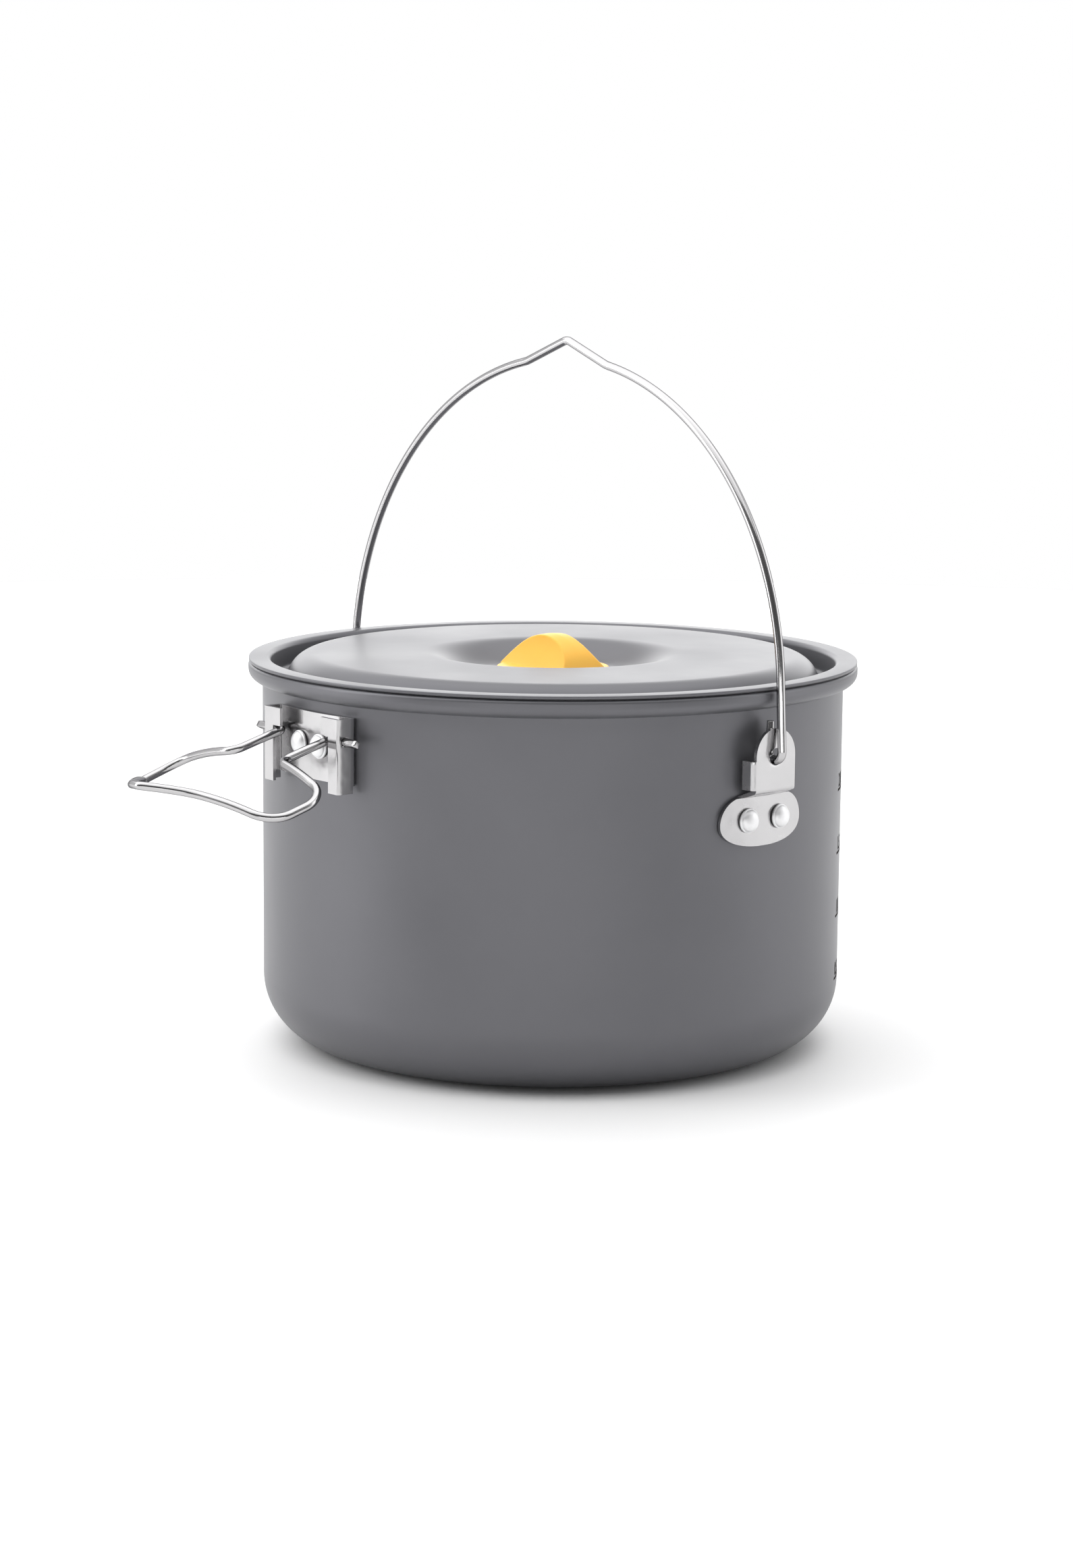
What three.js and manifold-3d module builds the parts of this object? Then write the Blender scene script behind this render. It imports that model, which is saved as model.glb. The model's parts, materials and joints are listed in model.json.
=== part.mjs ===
// A camping pot with its lid, a swinging bail and a folding side handle.
// Millimetres, +Z up. The origin is the middle of the base, and +X runs through the right-hand bail lug.
import * as THREE from "three";
import { mergeVertices } from "three/addons/utils/BufferGeometryUtils.js";
import Module from "manifold-3d";

const wasm = await Module();
wasm.setup();

// ---- General ----
const TOUCH = 0.3; // gap kept between pieces that touch
const ROUND = 48; // flats round the pot and the lid
const BEND_STEP = 24; // degrees of bend between two sections of a wire

// ---- Pot ----
const POT_R = 91; // outside of the wall
const POT_H = 119.9; // top of the rolled rim
const WALL = 1;
const CORNER_R = 20.8; // outside corner between base and wall
const RIM_OUT = 4.4; // how far the rolled rim stands out from the wall
const RIM_H = 5.7; // height of the rolled rim
const RIM_SIDE = 2.3; // from the rim's top down to its widest
const RIM_CREST_R = 1.2; // rounding at its top, outside
const RIM_NECK = 0.6; // from the wall to the middle of the roll
const RIM_MOUTH = 1.6; // rounding at the mouth, inside

// ---- Lid ----
const LID_T = 1;
const LID_CLEAR = 0.6; // between the lid's skirt and the inside of the pot
const LID_REACH = 4.3; // flange past the outside of the pot's wall
const CHANNEL_DEPTH = 8; // from the flange's top down to the channel's floor
const CHANNEL_W = 4.8; // floor and both its corners, between skirt and shoulder
const SHOULDER_R = 9.1; // rounding of the raised middle's edge
const DISH_R = 38; // outer edge of the dish
const DISH_FLOOR_R = 25;
const DISH_DEPTH = 5.8;
const LID_HOLE_R = 2; // passes the knob's screw

// ---- Knob ----
const KNOB_BASE_R = 17.7;
const KNOB_BASE_T = 1.2;
const GRIP_L = 32; // length at the base
const GRIP_H = 9.9; // height above the base disc
const GRIP_TOP_T = 7.8; // thickness along the crest
const GRIP_FOOT_T = 17.5; // thickness where it meets the base
const GRIP_FLARE = 1.7; // how late its sides flare out to the base
const GRIP_TURN = -5; // degrees from +X
const INSERT_R = 2.5;
const INSERT_L = 6.9;
const SCREW_R = 1.35;
const SCREW_L = 8; // length above the lid's underside
const SCREW_HEAD_R = 3.6;
const SCREW_HEAD_T = 2.1;
const WASHER_R = 5;
const WASHER_T = 0.8;

// ---- Wire ----
const WIRE_R = 1.3;
const WIRE_SIDES = 8;

// ---- Bail and its lugs ----
const PIVOT_DROP = 20.4; // pivot below the rim's top
const HOLE_R = 2.6;
const LUG_T = 1.15;
const LUG_HALF_W = 16.8; // foot plate, half its width
const LUG_FOOT_H = 15.4; // foot plate, bottom edge to the step
const LUG_FOOT_DROP = 26.1; // foot plate's bottom edge below the pivot
const STEP_OUT = 4.45; // how far the tongue stands out from the foot plate
const STEP_H = 1.7;
const TONGUE_HALF_W = 8.2;
const TAB_H = 10; // side tab that stops the bail
const TAB_DROP = 9.3; // its bottom edge below the pivot
const TAB_DEPTH = 3.2; // how far it reaches back from the tongue
const LUG_RIVET_PITCH = 13;
const LUG_RIVET_DROP = 18; // rivets below the pivot
const HOOK_R = 2.5; // bend of the hook, on the wire's middle line
const HOOK_IN = 2.4; // from the tongue's middle to the tail's middle line
const HOOK_OUT = 3.1; // from the tongue's middle to the foot of the leg
const TAIL_H = 11.4; // tail above the pivot
const ARCH_SPRING = 14.8; // the arch's middle above the pivot
const ARCH_RISE = 99.8; // vertical half axis of the arch
const LEG_LEAN = 5.3; // degrees
const CROWN_HALF_W = 18; // from the crown's kinks to its middle
const CROWN_UP = 7.2; // peak above the kinks
const CROWN_R = 3.5;
const KINK_R = 11;
const BAIL_TILT = 2.3; // degrees towards +Y, as it stands

// ---- Rivets ----
const SHANK_R = 1.7;
const RIVET_HOLE_R = SHANK_R + TOUCH;
const DOME_R = 3.7;
const DOME_H = 2.4;
const TAIL_HEAD_R = 3.1; // head inside the pot
const TAIL_HEAD_T = 0.9;

// ---- Side handle and its bracket ----
const HANDLE_TURN = -94.5; // degrees from +X
const HINGE_DROP = 15.9; // hinge below the rim's top
const HINGE_OUT = 2.3; // hinge out from the wall
const BRACKET_T = 1;
const BRACKET_HALF_W = 19.5;
const BRACKET_OUT = 5; // front of the lips, out from the wall
const BRACKET_UP = 6.8; // top edge above the hinge
const BRACKET_DOWN = 15.6; // bottom edge below the hinge
const BACK_DOWN = 13.4; // back plate's bottom edge below the hinge
const LIP_UPPER = 10.7; // inner edge of the upper lips, from the middle
const LIP_LOWER = 14.5; // inner edge of the lower lips
const LIP_STEP = 1.4; // from the hinge up to the upper lips
const BRACKET_BEND = 1.6; // outside of its folds
const BRACKET_RIVET_PITCH = 10;
const BRACKET_RIVET_DROP = 3; // rivets below the hinge
const STUB_OUT = 6.3; // stub past the bracket
const ARM_V = 12.5; // arms, from the middle
const DROOP = 14.2; // degrees below level when unfolded
const FOLD_GAP = 0.6; // least gap between the folded loop and the wall
const LOOP_STEP = 11; // longest straight step of the loop round the wall
// Half of the loop: how far across, how far from the hinge, how far it stands off, and the bend there.
const LOOP = [
  { across: ARM_V, along: 19.1, off: 0.9, bend: 4 },
  { across: 39.4, along: 22.8, off: 3, bend: 8 },
  { across: 38.6, along: 41.8, off: 1.2, bend: 10 },
  { across: 13.2, along: 50.4, off: 2.4, bend: 14 },
  { across: 1.9, along: 60.4, off: 5.8, bend: 1.8 },
];

// ---- Worked out ----
const degrees = THREE.MathUtils.degToRad;
const potInside = POT_R - WALL;
const pivotZ = POT_H - PIVOT_DROP;
const hingeZ = POT_H - HINGE_DROP;
const hingeX = POT_R + HINGE_OUT;
const plateInner = POT_R + TOUCH;
const tongueMid = plateInner + LUG_T / 2 + STEP_OUT;
const lidEdge = POT_R + LID_REACH;
const lidFlange = POT_H + TOUCH + LID_T; // top of the lid's flange
const lidTop = lidFlange + 1.1; // top of the raised middle
const dishZ = lidTop - DISH_DEPTH;
const channelZ = lidFlange - CHANNEL_DEPTH;
const knobZ = dishZ + TOUCH; // underside of the knob

// ---- Finishes ----
const FINISH = {
  anodised: new THREE.MeshStandardMaterial({ color: 0x67676b, roughness: 0.5, metalness: 0.6 }),
  yellow: new THREE.MeshStandardMaterial({ color: 0xffcf5c, roughness: 0.45, metalness: 0 }),
  nickel: new THREE.MeshStandardMaterial({ color: 0xc9c6c0, roughness: 0.2, metalness: 1 }),
  aluminium: new THREE.MeshStandardMaterial({ color: 0xd5d5d6, roughness: 0.4, metalness: 1 }),
  brass: new THREE.MeshStandardMaterial({ color: 0xb6a268, roughness: 0.35, metalness: 1 }),
};

// ---- Helpers ----

// A closed geometry as a solid that can be joined and cut.
function solid(geometry) {
  const bare = geometry.clone();
  bare.deleteAttribute("normal");
  bare.deleteAttribute("uv");
  const merged = mergeVertices(bare, 1e-4);
  const vertProperties = new Float32Array(merged.attributes.position.array);
  const triVerts = new Uint32Array(merged.index.array);
  return new wasm.Manifold(new wasm.Mesh({ numProp: 3, vertProperties, triVerts }));
}

function geometryOf(body) {
  const mesh = body.getMesh();
  const geometry = new THREE.BufferGeometry();
  geometry.setAttribute("position", new THREE.BufferAttribute(mesh.vertProperties, 3));
  geometry.setIndex(new THREE.BufferAttribute(mesh.triVerts, 1));
  geometry.computeVertexNormals();
  return geometry;
}

function cut(body, tools) {
  return tools.reduce((left, tool) => left.subtract(solid(tool)), body);
}

function point(x, y) {
  return new THREE.Vector2(x, y);
}

// An arc about (x, y) between two angles in degrees; high makes it an ellipse.
function arc(x, y, radius, from, to, steps, high = radius) {
  return Array.from({ length: steps + 1 }, (_, i) => {
    const angle = degrees(from + ((to - from) * i) / steps);
    return point(x + radius * Math.cos(angle), y + high * Math.sin(angle));
  });
}

// A profile of (radius, height) points turned about +Z.
function turned(profile, flats) {
  return new THREE.LatheGeometry(profile, flats).rotateX(Math.PI / 2);
}

function box(low, high) {
  const size = high.clone().sub(low);
  const middle = low.clone().add(high).multiplyScalar(0.5);
  return new THREE.BoxGeometry(size.x, size.y, size.z).translate(middle.x, middle.y, middle.z);
}

// A flat outline in XY, raised from z = low to z = high.
function raised(outline, low, high) {
  const flat = new THREE.ExtrudeGeometry(new THREE.Shape(outline), { depth: high - low, bevelEnabled: false });
  return flat.translate(0, 0, low);
}

// A closed sheet between two grids of points, face and back, each a list of rows.
function sheet(face, back) {
  const rows = face.length;
  const columns = face[0].length;
  const positions = [...face.flat(), ...back.flat()].flatMap((p) => [p.x, p.y, p.z]);
  const index = [];
  const quad = (a, b, c, d) => index.push(a, b, c, a, c, d);
  const front = (i, j) => i * columns + j;
  const rear = (i, j) => rows * columns + front(i, j);
  for (let i = 0; i < rows - 1; i += 1) {
    for (let j = 0; j < columns - 1; j += 1) {
      quad(front(i, j), front(i, j + 1), front(i + 1, j + 1), front(i + 1, j));
      quad(rear(i, j), rear(i + 1, j), rear(i + 1, j + 1), rear(i, j + 1));
    }
    const last = columns - 1;
    quad(front(i, 0), front(i + 1, 0), rear(i + 1, 0), rear(i, 0));
    quad(front(i, last), rear(i, last), rear(i + 1, last), front(i + 1, last));
  }
  for (let j = 0; j < columns - 1; j += 1) {
    const last = rows - 1;
    quad(front(0, j), rear(0, j), rear(0, j + 1), front(0, j + 1));
    quad(front(last, j), front(last, j + 1), rear(last, j + 1), rear(last, j));
  }
  const geometry = new THREE.BufferGeometry();
  geometry.setAttribute("position", new THREE.Float32BufferAttribute(positions, 3));
  geometry.setIndex(index);
  geometry.computeVertexNormals();
  return geometry;
}

// A wire's middle line: straight between its corners, and bent to a radius at each.
function bentLine(corners) {
  const line = [corners[0].at];
  for (let i = 1; i < corners.length - 1; i += 1) {
    const { at, bend } = corners[i];
    const back = corners[i - 1].at.clone().sub(at).normalize();
    const on = corners[i + 1].at.clone().sub(at).normalize();
    const turn = Math.PI - back.angleTo(on);
    if (!bend || turn < 0.01) {
      line.push(at);
      continue;
    }
    const reach = bend * Math.tan(turn / 2);
    const middle = back.clone().add(on).normalize().multiplyScalar(bend / Math.cos(turn / 2)).add(at);
    const first = back.multiplyScalar(reach).add(at).sub(middle);
    const second = on.multiplyScalar(reach).add(at).sub(middle);
    const steps = Math.max(2, Math.ceil(turn / degrees(BEND_STEP)));
    for (let k = 0; k <= steps; k += 1) {
      const part = (turn * k) / steps;
      const along = first.clone().multiplyScalar(Math.sin(turn - part) / Math.sin(turn));
      line.push(along.addScaledVector(second, Math.sin(part) / Math.sin(turn)).add(middle));
    }
  }
  line.push(corners[corners.length - 1].at);
  return line;
}

// A line through points, sampled exactly at those points.
class WireLine extends THREE.Curve {
  constructor(points) {
    super();
    this.points = points;
  }

  getPoint(t, target = new THREE.Vector3()) {
    const last = this.points.length - 1;
    const i = Math.min(Math.floor(t * last + 1e-9), last - 1);
    return target.lerpVectors(this.points[i], this.points[i + 1], t * last - i);
  }

  getUtoTmapping(u) {
    return u;
  }
}

function wire(points) {
  const section = arc(0, 0, WIRE_R, 0, 360 - 360 / WIRE_SIDES, WIRE_SIDES - 1);
  return new THREE.ExtrudeGeometry(new THREE.Shape(section), {
    steps: points.length - 1,
    extrudePath: new WireLine(points),
    bevelEnabled: false,
  });
}

function named(name, geometry, finish) {
  const mesh = new THREE.Mesh(geometry, finish);
  mesh.name = name;
  return mesh;
}

// ---- Pot ----

// Where a rivet sits on the wall: its turn round the pot and its height.
function rivetPlaces(turn, pitch, z) {
  const step = THREE.MathUtils.radToDeg(pitch / 2 / POT_R);
  return [-step, step].map((off) => ({ turn: turn + off, z }));
}

const lugRivetZ = pivotZ - LUG_RIVET_DROP;
const rivets = {
  lug_right: rivetPlaces(0, LUG_RIVET_PITCH, lugRivetZ),
  lug_left: rivetPlaces(180, LUG_RIVET_PITCH, lugRivetZ),
  handle: rivetPlaces(HANDLE_TURN, BRACKET_RIVET_PITCH, hingeZ - BRACKET_RIVET_DROP),
};

// A cutter for a rivet's hole through the wall and whatever is riveted to it.
function rivetHole({ turn, z }) {
  const hole = new THREE.CylinderGeometry(RIVET_HOLE_R, RIVET_HOLE_R, 12, 12).rotateZ(Math.PI / 2);
  return hole.translate(POT_R, 0, 0).rotateZ(degrees(turn)).translate(0, 0, z);
}

function potShell() {
  const rimX = POT_R + RIM_NECK;
  const cornerX = POT_R - CORNER_R;
  const profile = [
    point(0, 0),
    ...arc(cornerX, CORNER_R, CORNER_R, -90, 0, 7),
    point(POT_R, POT_H - RIM_H),
    ...arc(rimX, POT_H - RIM_SIDE, RIM_OUT - RIM_NECK, -70, 0, 5, RIM_H - RIM_SIDE),
    ...arc(POT_R + RIM_OUT - RIM_CREST_R, POT_H - RIM_CREST_R, RIM_CREST_R, 0, 90, 2),
    ...arc(rimX, POT_H - RIM_MOUTH, RIM_MOUTH, 90, 180, 3),
    ...arc(cornerX, CORNER_R, CORNER_R - WALL, 0, -90, 7),
    point(0, WALL),
  ];
  const holes = Object.values(rivets).flat().map(rivetHole);
  return geometryOf(cut(solid(turned(profile, ROUND)), holes));
}

// ---- Lid ----

// The lid's upper face, from the flange's edge to the screw's hole.
function lidLine() {
  const skirt = potInside - LID_CLEAR - LID_T;
  const shoulder = skirt - CHANNEL_W;
  const steps = 6;
  const dish = Array.from({ length: steps + 1 }, (_, i) => {
    const wave = (1 + Math.cos((Math.PI * i) / steps)) / 2;
    return point(THREE.MathUtils.lerp(DISH_R, DISH_FLOOR_R, i / steps), dishZ + DISH_DEPTH * wave);
  });
  return [
    point(lidEdge, lidFlange),
    ...arc(skirt + 1.6, lidFlange - 1.6, 1.6, 90, 180, 2),
    ...arc(skirt - 1.8, channelZ + 1.8, 1.8, 0, -90, 2),
    ...arc(shoulder + 1.2, channelZ + 1.2, 1.2, -90, -180, 2),
    ...arc(shoulder - SHOULDER_R, lidTop - SHOULDER_R, SHOULDER_R, 8, 90, 4),
    ...dish,
    point(LID_HOLE_R, dishZ),
  ];
}

// A line moved sideways by a distance, square to itself at each point.
function offset(line, distance) {
  return line.map((at, i) => {
    const before = line[Math.max(i - 1, 0)];
    const after = line[Math.min(i + 1, line.length - 1)];
    const into = at.clone().sub(before).normalize();
    const out = after.clone().sub(at).normalize();
    const along = into.add(out).normalize();
    const bend = i > 0 && i < line.length - 1 ? Math.max(out.dot(along), 0.5) : 1;
    return point(at.x - (along.y * distance) / bend, at.y + (along.x * distance) / bend);
  });
}

function lidPan() {
  const top = lidLine();
  const under = offset(top, LID_T).reverse();
  return turned([...top, ...under, top[0]], ROUND);
}

// ---- Knob ----

function knobShape() {
  const crestR = (GRIP_L ** 2 / 4 + GRIP_H ** 2) / (2 * GRIP_H);
  const footZ = knobZ + KNOB_BASE_T;
  const reach = THREE.MathUtils.radToDeg(Math.asin(GRIP_L / 2 / crestR));
  const fin = arc(0, footZ + GRIP_H - crestR, crestR, 90 - reach, 90 + reach, 16);
  fin.push(point(-GRIP_L / 2, knobZ + 0.2), point(GRIP_L / 2, knobZ + 0.2));
  const side = raised(fin, -GRIP_FOOT_T, GRIP_FOOT_T).rotateX(Math.PI / 2);
  const flare = (GRIP_FOOT_T - GRIP_TOP_T) / 2;
  const waist = Array.from({ length: 6 }, (_, i) => {
    const up = i / 5;
    return point(GRIP_TOP_T / 2 + flare * (1 - up) ** GRIP_FLARE, footZ + GRIP_H * up);
  });
  const right = [point(GRIP_FOOT_T / 2, knobZ), ...waist, point(GRIP_TOP_T / 2, footZ + GRIP_H + 1)];
  const left = right.map((p) => point(-p.x, p.y)).reverse();
  const ends = raised([...right, ...left], -GRIP_L, GRIP_L).rotateX(Math.PI / 2).rotateZ(Math.PI / 2);
  const grip = solid(side).intersect(solid(ends));
  const edge = KNOB_BASE_T / 2;
  const rim = arc(KNOB_BASE_R - edge, knobZ + edge, edge, -90, 90, 4);
  const base = turned([point(0, knobZ), ...rim, point(0, footZ)], 40);
  const hole = [point(0, knobZ - 1), point(INSERT_R + TOUCH, knobZ - 1)];
  hole.push(point(INSERT_R + TOUCH, knobZ + INSERT_L + 2 * TOUCH), point(0, knobZ + INSERT_L + 2 * TOUCH));
  return geometryOf(cut(solid(base).add(grip), [turned(hole, 20)]));
}

function ring(inner, outer, low, high, flats) {
  const profile = [point(inner, low), point(outer, low), point(outer, high), point(inner, high)];
  return turned([...profile, profile[0]], flats);
}

function knobScrew() {
  const washerLow = dishZ - LID_T - TOUCH - WASHER_T;
  const seat = washerLow - TOUCH;
  const low = seat - SCREW_HEAD_T;
  const head = arc(SCREW_HEAD_R - 1.2, low + 1.2, 1.2, -90, 0, 3);
  const tip = dishZ - LID_T + SCREW_L;
  const profile = [point(0, low), ...head, point(SCREW_HEAD_R, seat), point(SCREW_R, seat)];
  profile.push(point(SCREW_R, tip - 0.5), point(SCREW_R - 0.5, tip), point(0, tip));
  const slots = [0, 90].map((turn) => {
    const slot = box(new THREE.Vector3(-1.9, -0.4, low - 1), new THREE.Vector3(1.9, 0.4, low + 1.1));
    return slot.rotateZ(degrees(turn));
  });
  return geometryOf(cut(solid(turned(profile, 20)), slots));
}

function lidGroup() {
  const group = new THREE.Group();
  const washerTop = dishZ - LID_T - TOUCH;
  const knob = named("lid_knob", knobShape(), FINISH.yellow);
  knob.rotation.z = degrees(GRIP_TURN);
  const bore = SCREW_R + TOUCH;
  const insert = ring(bore, INSERT_R, knobZ + TOUCH, knobZ + TOUCH + INSERT_L, 20);
  group.add(
    named("lid_pan", lidPan(), FINISH.anodised),
    knob,
    named("knob_insert", insert, FINISH.brass),
    named("knob_screw", knobScrew(), FINISH.nickel),
    named("knob_washer", ring(bore, WASHER_R, washerTop - WASHER_T, washerTop, 24), FINISH.nickel),
  );
  return group;
}

// ---- Bail lugs ----

// Half the lug's width at a height above the bottom of its foot plate.
function lugHalfWidth(height) {
  const tongueMiddle = LUG_FOOT_DROP + 1.3;
  const lobeUp = LUG_FOOT_H * 0.47;
  if (height < lobeUp) {
    const low = 1 - height / lobeUp;
    return LUG_HALF_W * (1 - low ** 2.3) ** (1 / 2.3);
  }
  if (height < LUG_FOOT_H) {
    const up = (height - lobeUp) / (LUG_FOOT_H - lobeUp);
    return TONGUE_HALF_W + (LUG_HALF_W - TONGUE_HALF_W) * Math.sqrt(1 - up ** 2);
  }
  const above = Math.max(height - tongueMiddle, 0);
  return Math.sqrt(TONGUE_HALF_W ** 2 - above ** 2);
}

function lugPlate() {
  const foot = plateInner + LUG_T / 2;
  const bottom = pivotZ - LUG_FOOT_DROP;
  const top = LUG_FOOT_DROP + 1.3 + TONGUE_HALF_W;
  const ease = (low, high, steps, power) =>
    Array.from({ length: steps }, (_, i) => THREE.MathUtils.lerp(low, high, (i / steps) ** power));
  const heights = [
    ...ease(0.05, LUG_FOOT_H * 0.47, 5, 2),
    ...ease(LUG_FOOT_H * 0.47, LUG_FOOT_H, 6, 0.6),
    LUG_FOOT_H,
    LUG_FOOT_H + STEP_H,
    LUG_FOOT_DROP + 1.3,
    ...ease(top - 0.05, LUG_FOOT_DROP + 1.3, 6, 2).reverse(),
  ];
  const out = (h) => THREE.MathUtils.clamp((h - LUG_FOOT_H) / STEP_H, 0, 1);
  const middle = heights.map((h) => point(foot + STEP_OUT * out(h), bottom + h));
  const grids = [-LUG_T / 2, LUG_T / 2].map((side) =>
    offset(middle, side).map((p, i) => {
      const half = lugHalfWidth(heights[i]);
      return Array.from({ length: 7 }, (_, j) => {
        const y = (half * (j - 3)) / 3;
        const sag = (1 - out(heights[i])) * (plateInner - Math.sqrt(plateInner ** 2 - y ** 2));
        return new THREE.Vector3(p.x - sag, y, p.y);
      });
    }),
  );
  return sheet(grids[0], grids[1]);
}

function lugTab() {
  const inner = tongueMid - LUG_T / 2;
  const outer = inner + LUG_T;
  const y = -TONGUE_HALF_W;
  const outline = [
    point(inner, y + 0.6),
    point(inner, y),
    point(inner - TAB_DEPTH, y),
    point(inner - TAB_DEPTH, y - LUG_T),
    ...arc(outer - LUG_T, y, LUG_T, -90, 0, 3),
    point(outer, y + 0.6),
  ];
  return raised(outline, pivotZ - TAB_DROP, pivotZ - TAB_DROP + TAB_H);
}

function lug() {
  const hole = new THREE.CylinderGeometry(HOLE_R, HOLE_R, 6, 20).rotateZ(Math.PI / 2);
  hole.translate(tongueMid, 0, pivotZ + HOLE_R - WIRE_R - TOUCH);
  const body = solid(lugPlate()).add(solid(lugTab()));
  return geometryOf(cut(body, [hole, ...rivets.lug_right.map(rivetHole)]));
}

// ---- Rivets ----

// A rivet along +X: domed head outside, shank through the wall, low head inside.
function rivet(thickness) {
  const seat = POT_R + 2 * TOUCH + thickness;
  const inside = potInside - TOUCH - 0.1;
  const profile = [
    point(0, inside - TAIL_HEAD_T),
    point(TAIL_HEAD_R - 0.5, inside - TAIL_HEAD_T),
    point(TAIL_HEAD_R, inside - TAIL_HEAD_T + 0.4),
    point(TAIL_HEAD_R, inside),
    point(SHANK_R, inside),
    point(SHANK_R, seat),
    point(DOME_R, seat),
    ...arc(0, seat + 0.5, DOME_R, 0, 90, 4, DOME_H - 0.5),
  ];
  return turned(profile, 14).rotateY(Math.PI / 2);
}

function placedRivets(prefix, places, thickness) {
  return places.map(({ turn, z }, i) => {
    const mesh = named(`${prefix}_${i + 1}`, rivet(thickness), FINISH.aluminium);
    mesh.rotation.z = degrees(turn);
    mesh.position.z = z;
    return mesh;
  });
}

// ---- Bail ----

// Half of the bail's middle line, from the tail's end to the crown, about the pivot.
function bailHalf() {
  const at = (x, z, bend = 0) => ({ at: new THREE.Vector3(x, 0, z), bend });
  const lean = degrees(LEG_LEAN);
  const tailX = tongueMid - HOOK_IN;
  const footX = tongueMid + HOOK_OUT;
  const rise = (ARCH_SPRING + ARCH_RISE * Math.sin(lean)) * Math.tan(lean);
  const span = footX / (Math.cos(lean) + rise / ARCH_RISE);
  const kink = Math.acos(CROWN_HALF_W / span);
  const arch = Array.from({ length: 13 }, (_, i) => {
    const angle = THREE.MathUtils.lerp(lean, kink, i / 13);
    return at(span * Math.cos(angle), ARCH_SPRING + ARCH_RISE * Math.sin(angle));
  });
  const kinkZ = ARCH_SPRING + ARCH_RISE * Math.sin(kink);
  return [
    at(tailX, TAIL_H),
    at(tailX, 0, HOOK_R),
    at(footX, 0, HOOK_R),
    ...arch,
    at(CROWN_HALF_W, kinkZ, KINK_R),
    at(0, kinkZ + CROWN_UP, CROWN_R),
  ];
}

function bail() {
  const half = bailHalf();
  const other = half.slice(0, -1).reverse();
  const mirrored = other.map(({ at, bend }) => ({ at: new THREE.Vector3(-at.x, 0, at.z), bend }));
  const mesh = named("bail_wire", wire(bentLine([...half, ...mirrored])), FINISH.nickel);
  mesh.position.z = pivotZ;
  mesh.rotation.x = -degrees(BAIL_TILT);
  return mesh;
}

// ---- Side handle, about +X before the group turns it ----

function bracket() {
  const front = POT_R + BRACKET_OUT;
  const back = (radius, half, sign) => {
    const reach = THREE.MathUtils.radToDeg(Math.asin(half / radius));
    return arc(0, 0, radius, -sign * reach, sign * reach, 12);
  };
  const lipEnd = front - BRACKET_T;
  const inside = BRACKET_HALF_W - BRACKET_T;
  const fold = BRACKET_BEND - BRACKET_T;
  const outline = [
    point(front, LIP_UPPER),
    ...arc(front - BRACKET_BEND, BRACKET_HALF_W - BRACKET_BEND, BRACKET_BEND, 0, 90, 3),
    ...back(plateInner, BRACKET_HALF_W, -1),
    ...arc(front - BRACKET_BEND, BRACKET_BEND - BRACKET_HALF_W, BRACKET_BEND, -90, 0, 3),
    point(front, -LIP_UPPER),
    point(lipEnd, -LIP_UPPER),
    ...arc(lipEnd - fold, fold - inside, fold, 0, -90, 2),
    ...back(plateInner + BRACKET_T, inside, 1),
    ...arc(lipEnd - fold, inside - fold, fold, 90, 0, 2),
    point(lipEnd, LIP_UPPER),
  ];
  const bottom = hingeZ - BRACKET_DOWN;
  const body = solid(raised(outline, bottom, hingeZ + BRACKET_UP));
  const far = front + 2;
  const near = front - 2 * BRACKET_T;
  const lowGap = box(
    new THREE.Vector3(near, -LIP_LOWER, bottom - 1),
    new THREE.Vector3(far, LIP_LOWER, hingeZ + LIP_STEP),
  );
  const underBack = box(
    new THREE.Vector3(POT_R - 9, -inside - fold, bottom - 1),
    new THREE.Vector3(near, inside + fold, hingeZ - BACK_DOWN),
  );
  const hinge = new THREE.CylinderGeometry(WIRE_R + TOUCH, WIRE_R + TOUCH, 60, 16);
  hinge.translate(hingeX, 0, hingeZ);
  const holes = rivets.handle.map(({ turn, z }) => rivetHole({ turn: turn - HANDLE_TURN, z }));
  return geometryOf(cut(body, [lowGap, underBack, hinge, ...holes]));
}

// A point of the folded loop, from across, along and off: the loop hugs the wall.
function folded({ x: across, y: along, z: off }) {
  const hug = POT_R + WIRE_R + FOLD_GAP;
  const onWall = Math.sqrt(hug ** 2 - across ** 2) - hingeX;
  const blend = THREE.MathUtils.smoothstep(along, 0, BRACKET_DOWN + 6);
  return new THREE.Vector3(onWall * blend + off, across, -along);
}

// The line with its long straight steps divided.
function divided(line) {
  const points = [line[0]];
  line.slice(1).forEach((at, i) => {
    const count = Math.ceil(at.distanceTo(line[i]) / LOOP_STEP);
    for (let k = 1; k <= count; k += 1) points.push(line[i].clone().lerp(at, k / count));
  });
  return points;
}

function loopWire() {
  const at = (across, along, bend = 0, off = 0) => ({ at: new THREE.Vector3(across, along, off), bend });
  const half = [
    at(BRACKET_HALF_W + STUB_OUT, 0),
    at(ARM_V, 0, HOOK_R),
    ...LOOP.map(({ across, along, off, bend }) => at(across, along, bend, off)),
  ];
  const other = half.map(({ at: p, bend }) => ({ at: new THREE.Vector3(-p.x, p.y, p.z), bend }));
  return wire(divided(bentLine([...half, ...other.reverse()])).map(folded));
}

function sideHandle() {
  const group = new THREE.Group();
  const loop = named("side_handle_wire", loopWire(), FINISH.nickel);
  loop.position.set(hingeX, 0, hingeZ);
  loop.rotation.y = degrees(DROOP - 90);
  group.add(named("handle_bracket", bracket(), FINISH.nickel), loop);
  group.rotation.z = degrees(HANDLE_TURN);
  return group;
}

// ---- The whole object ----

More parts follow.
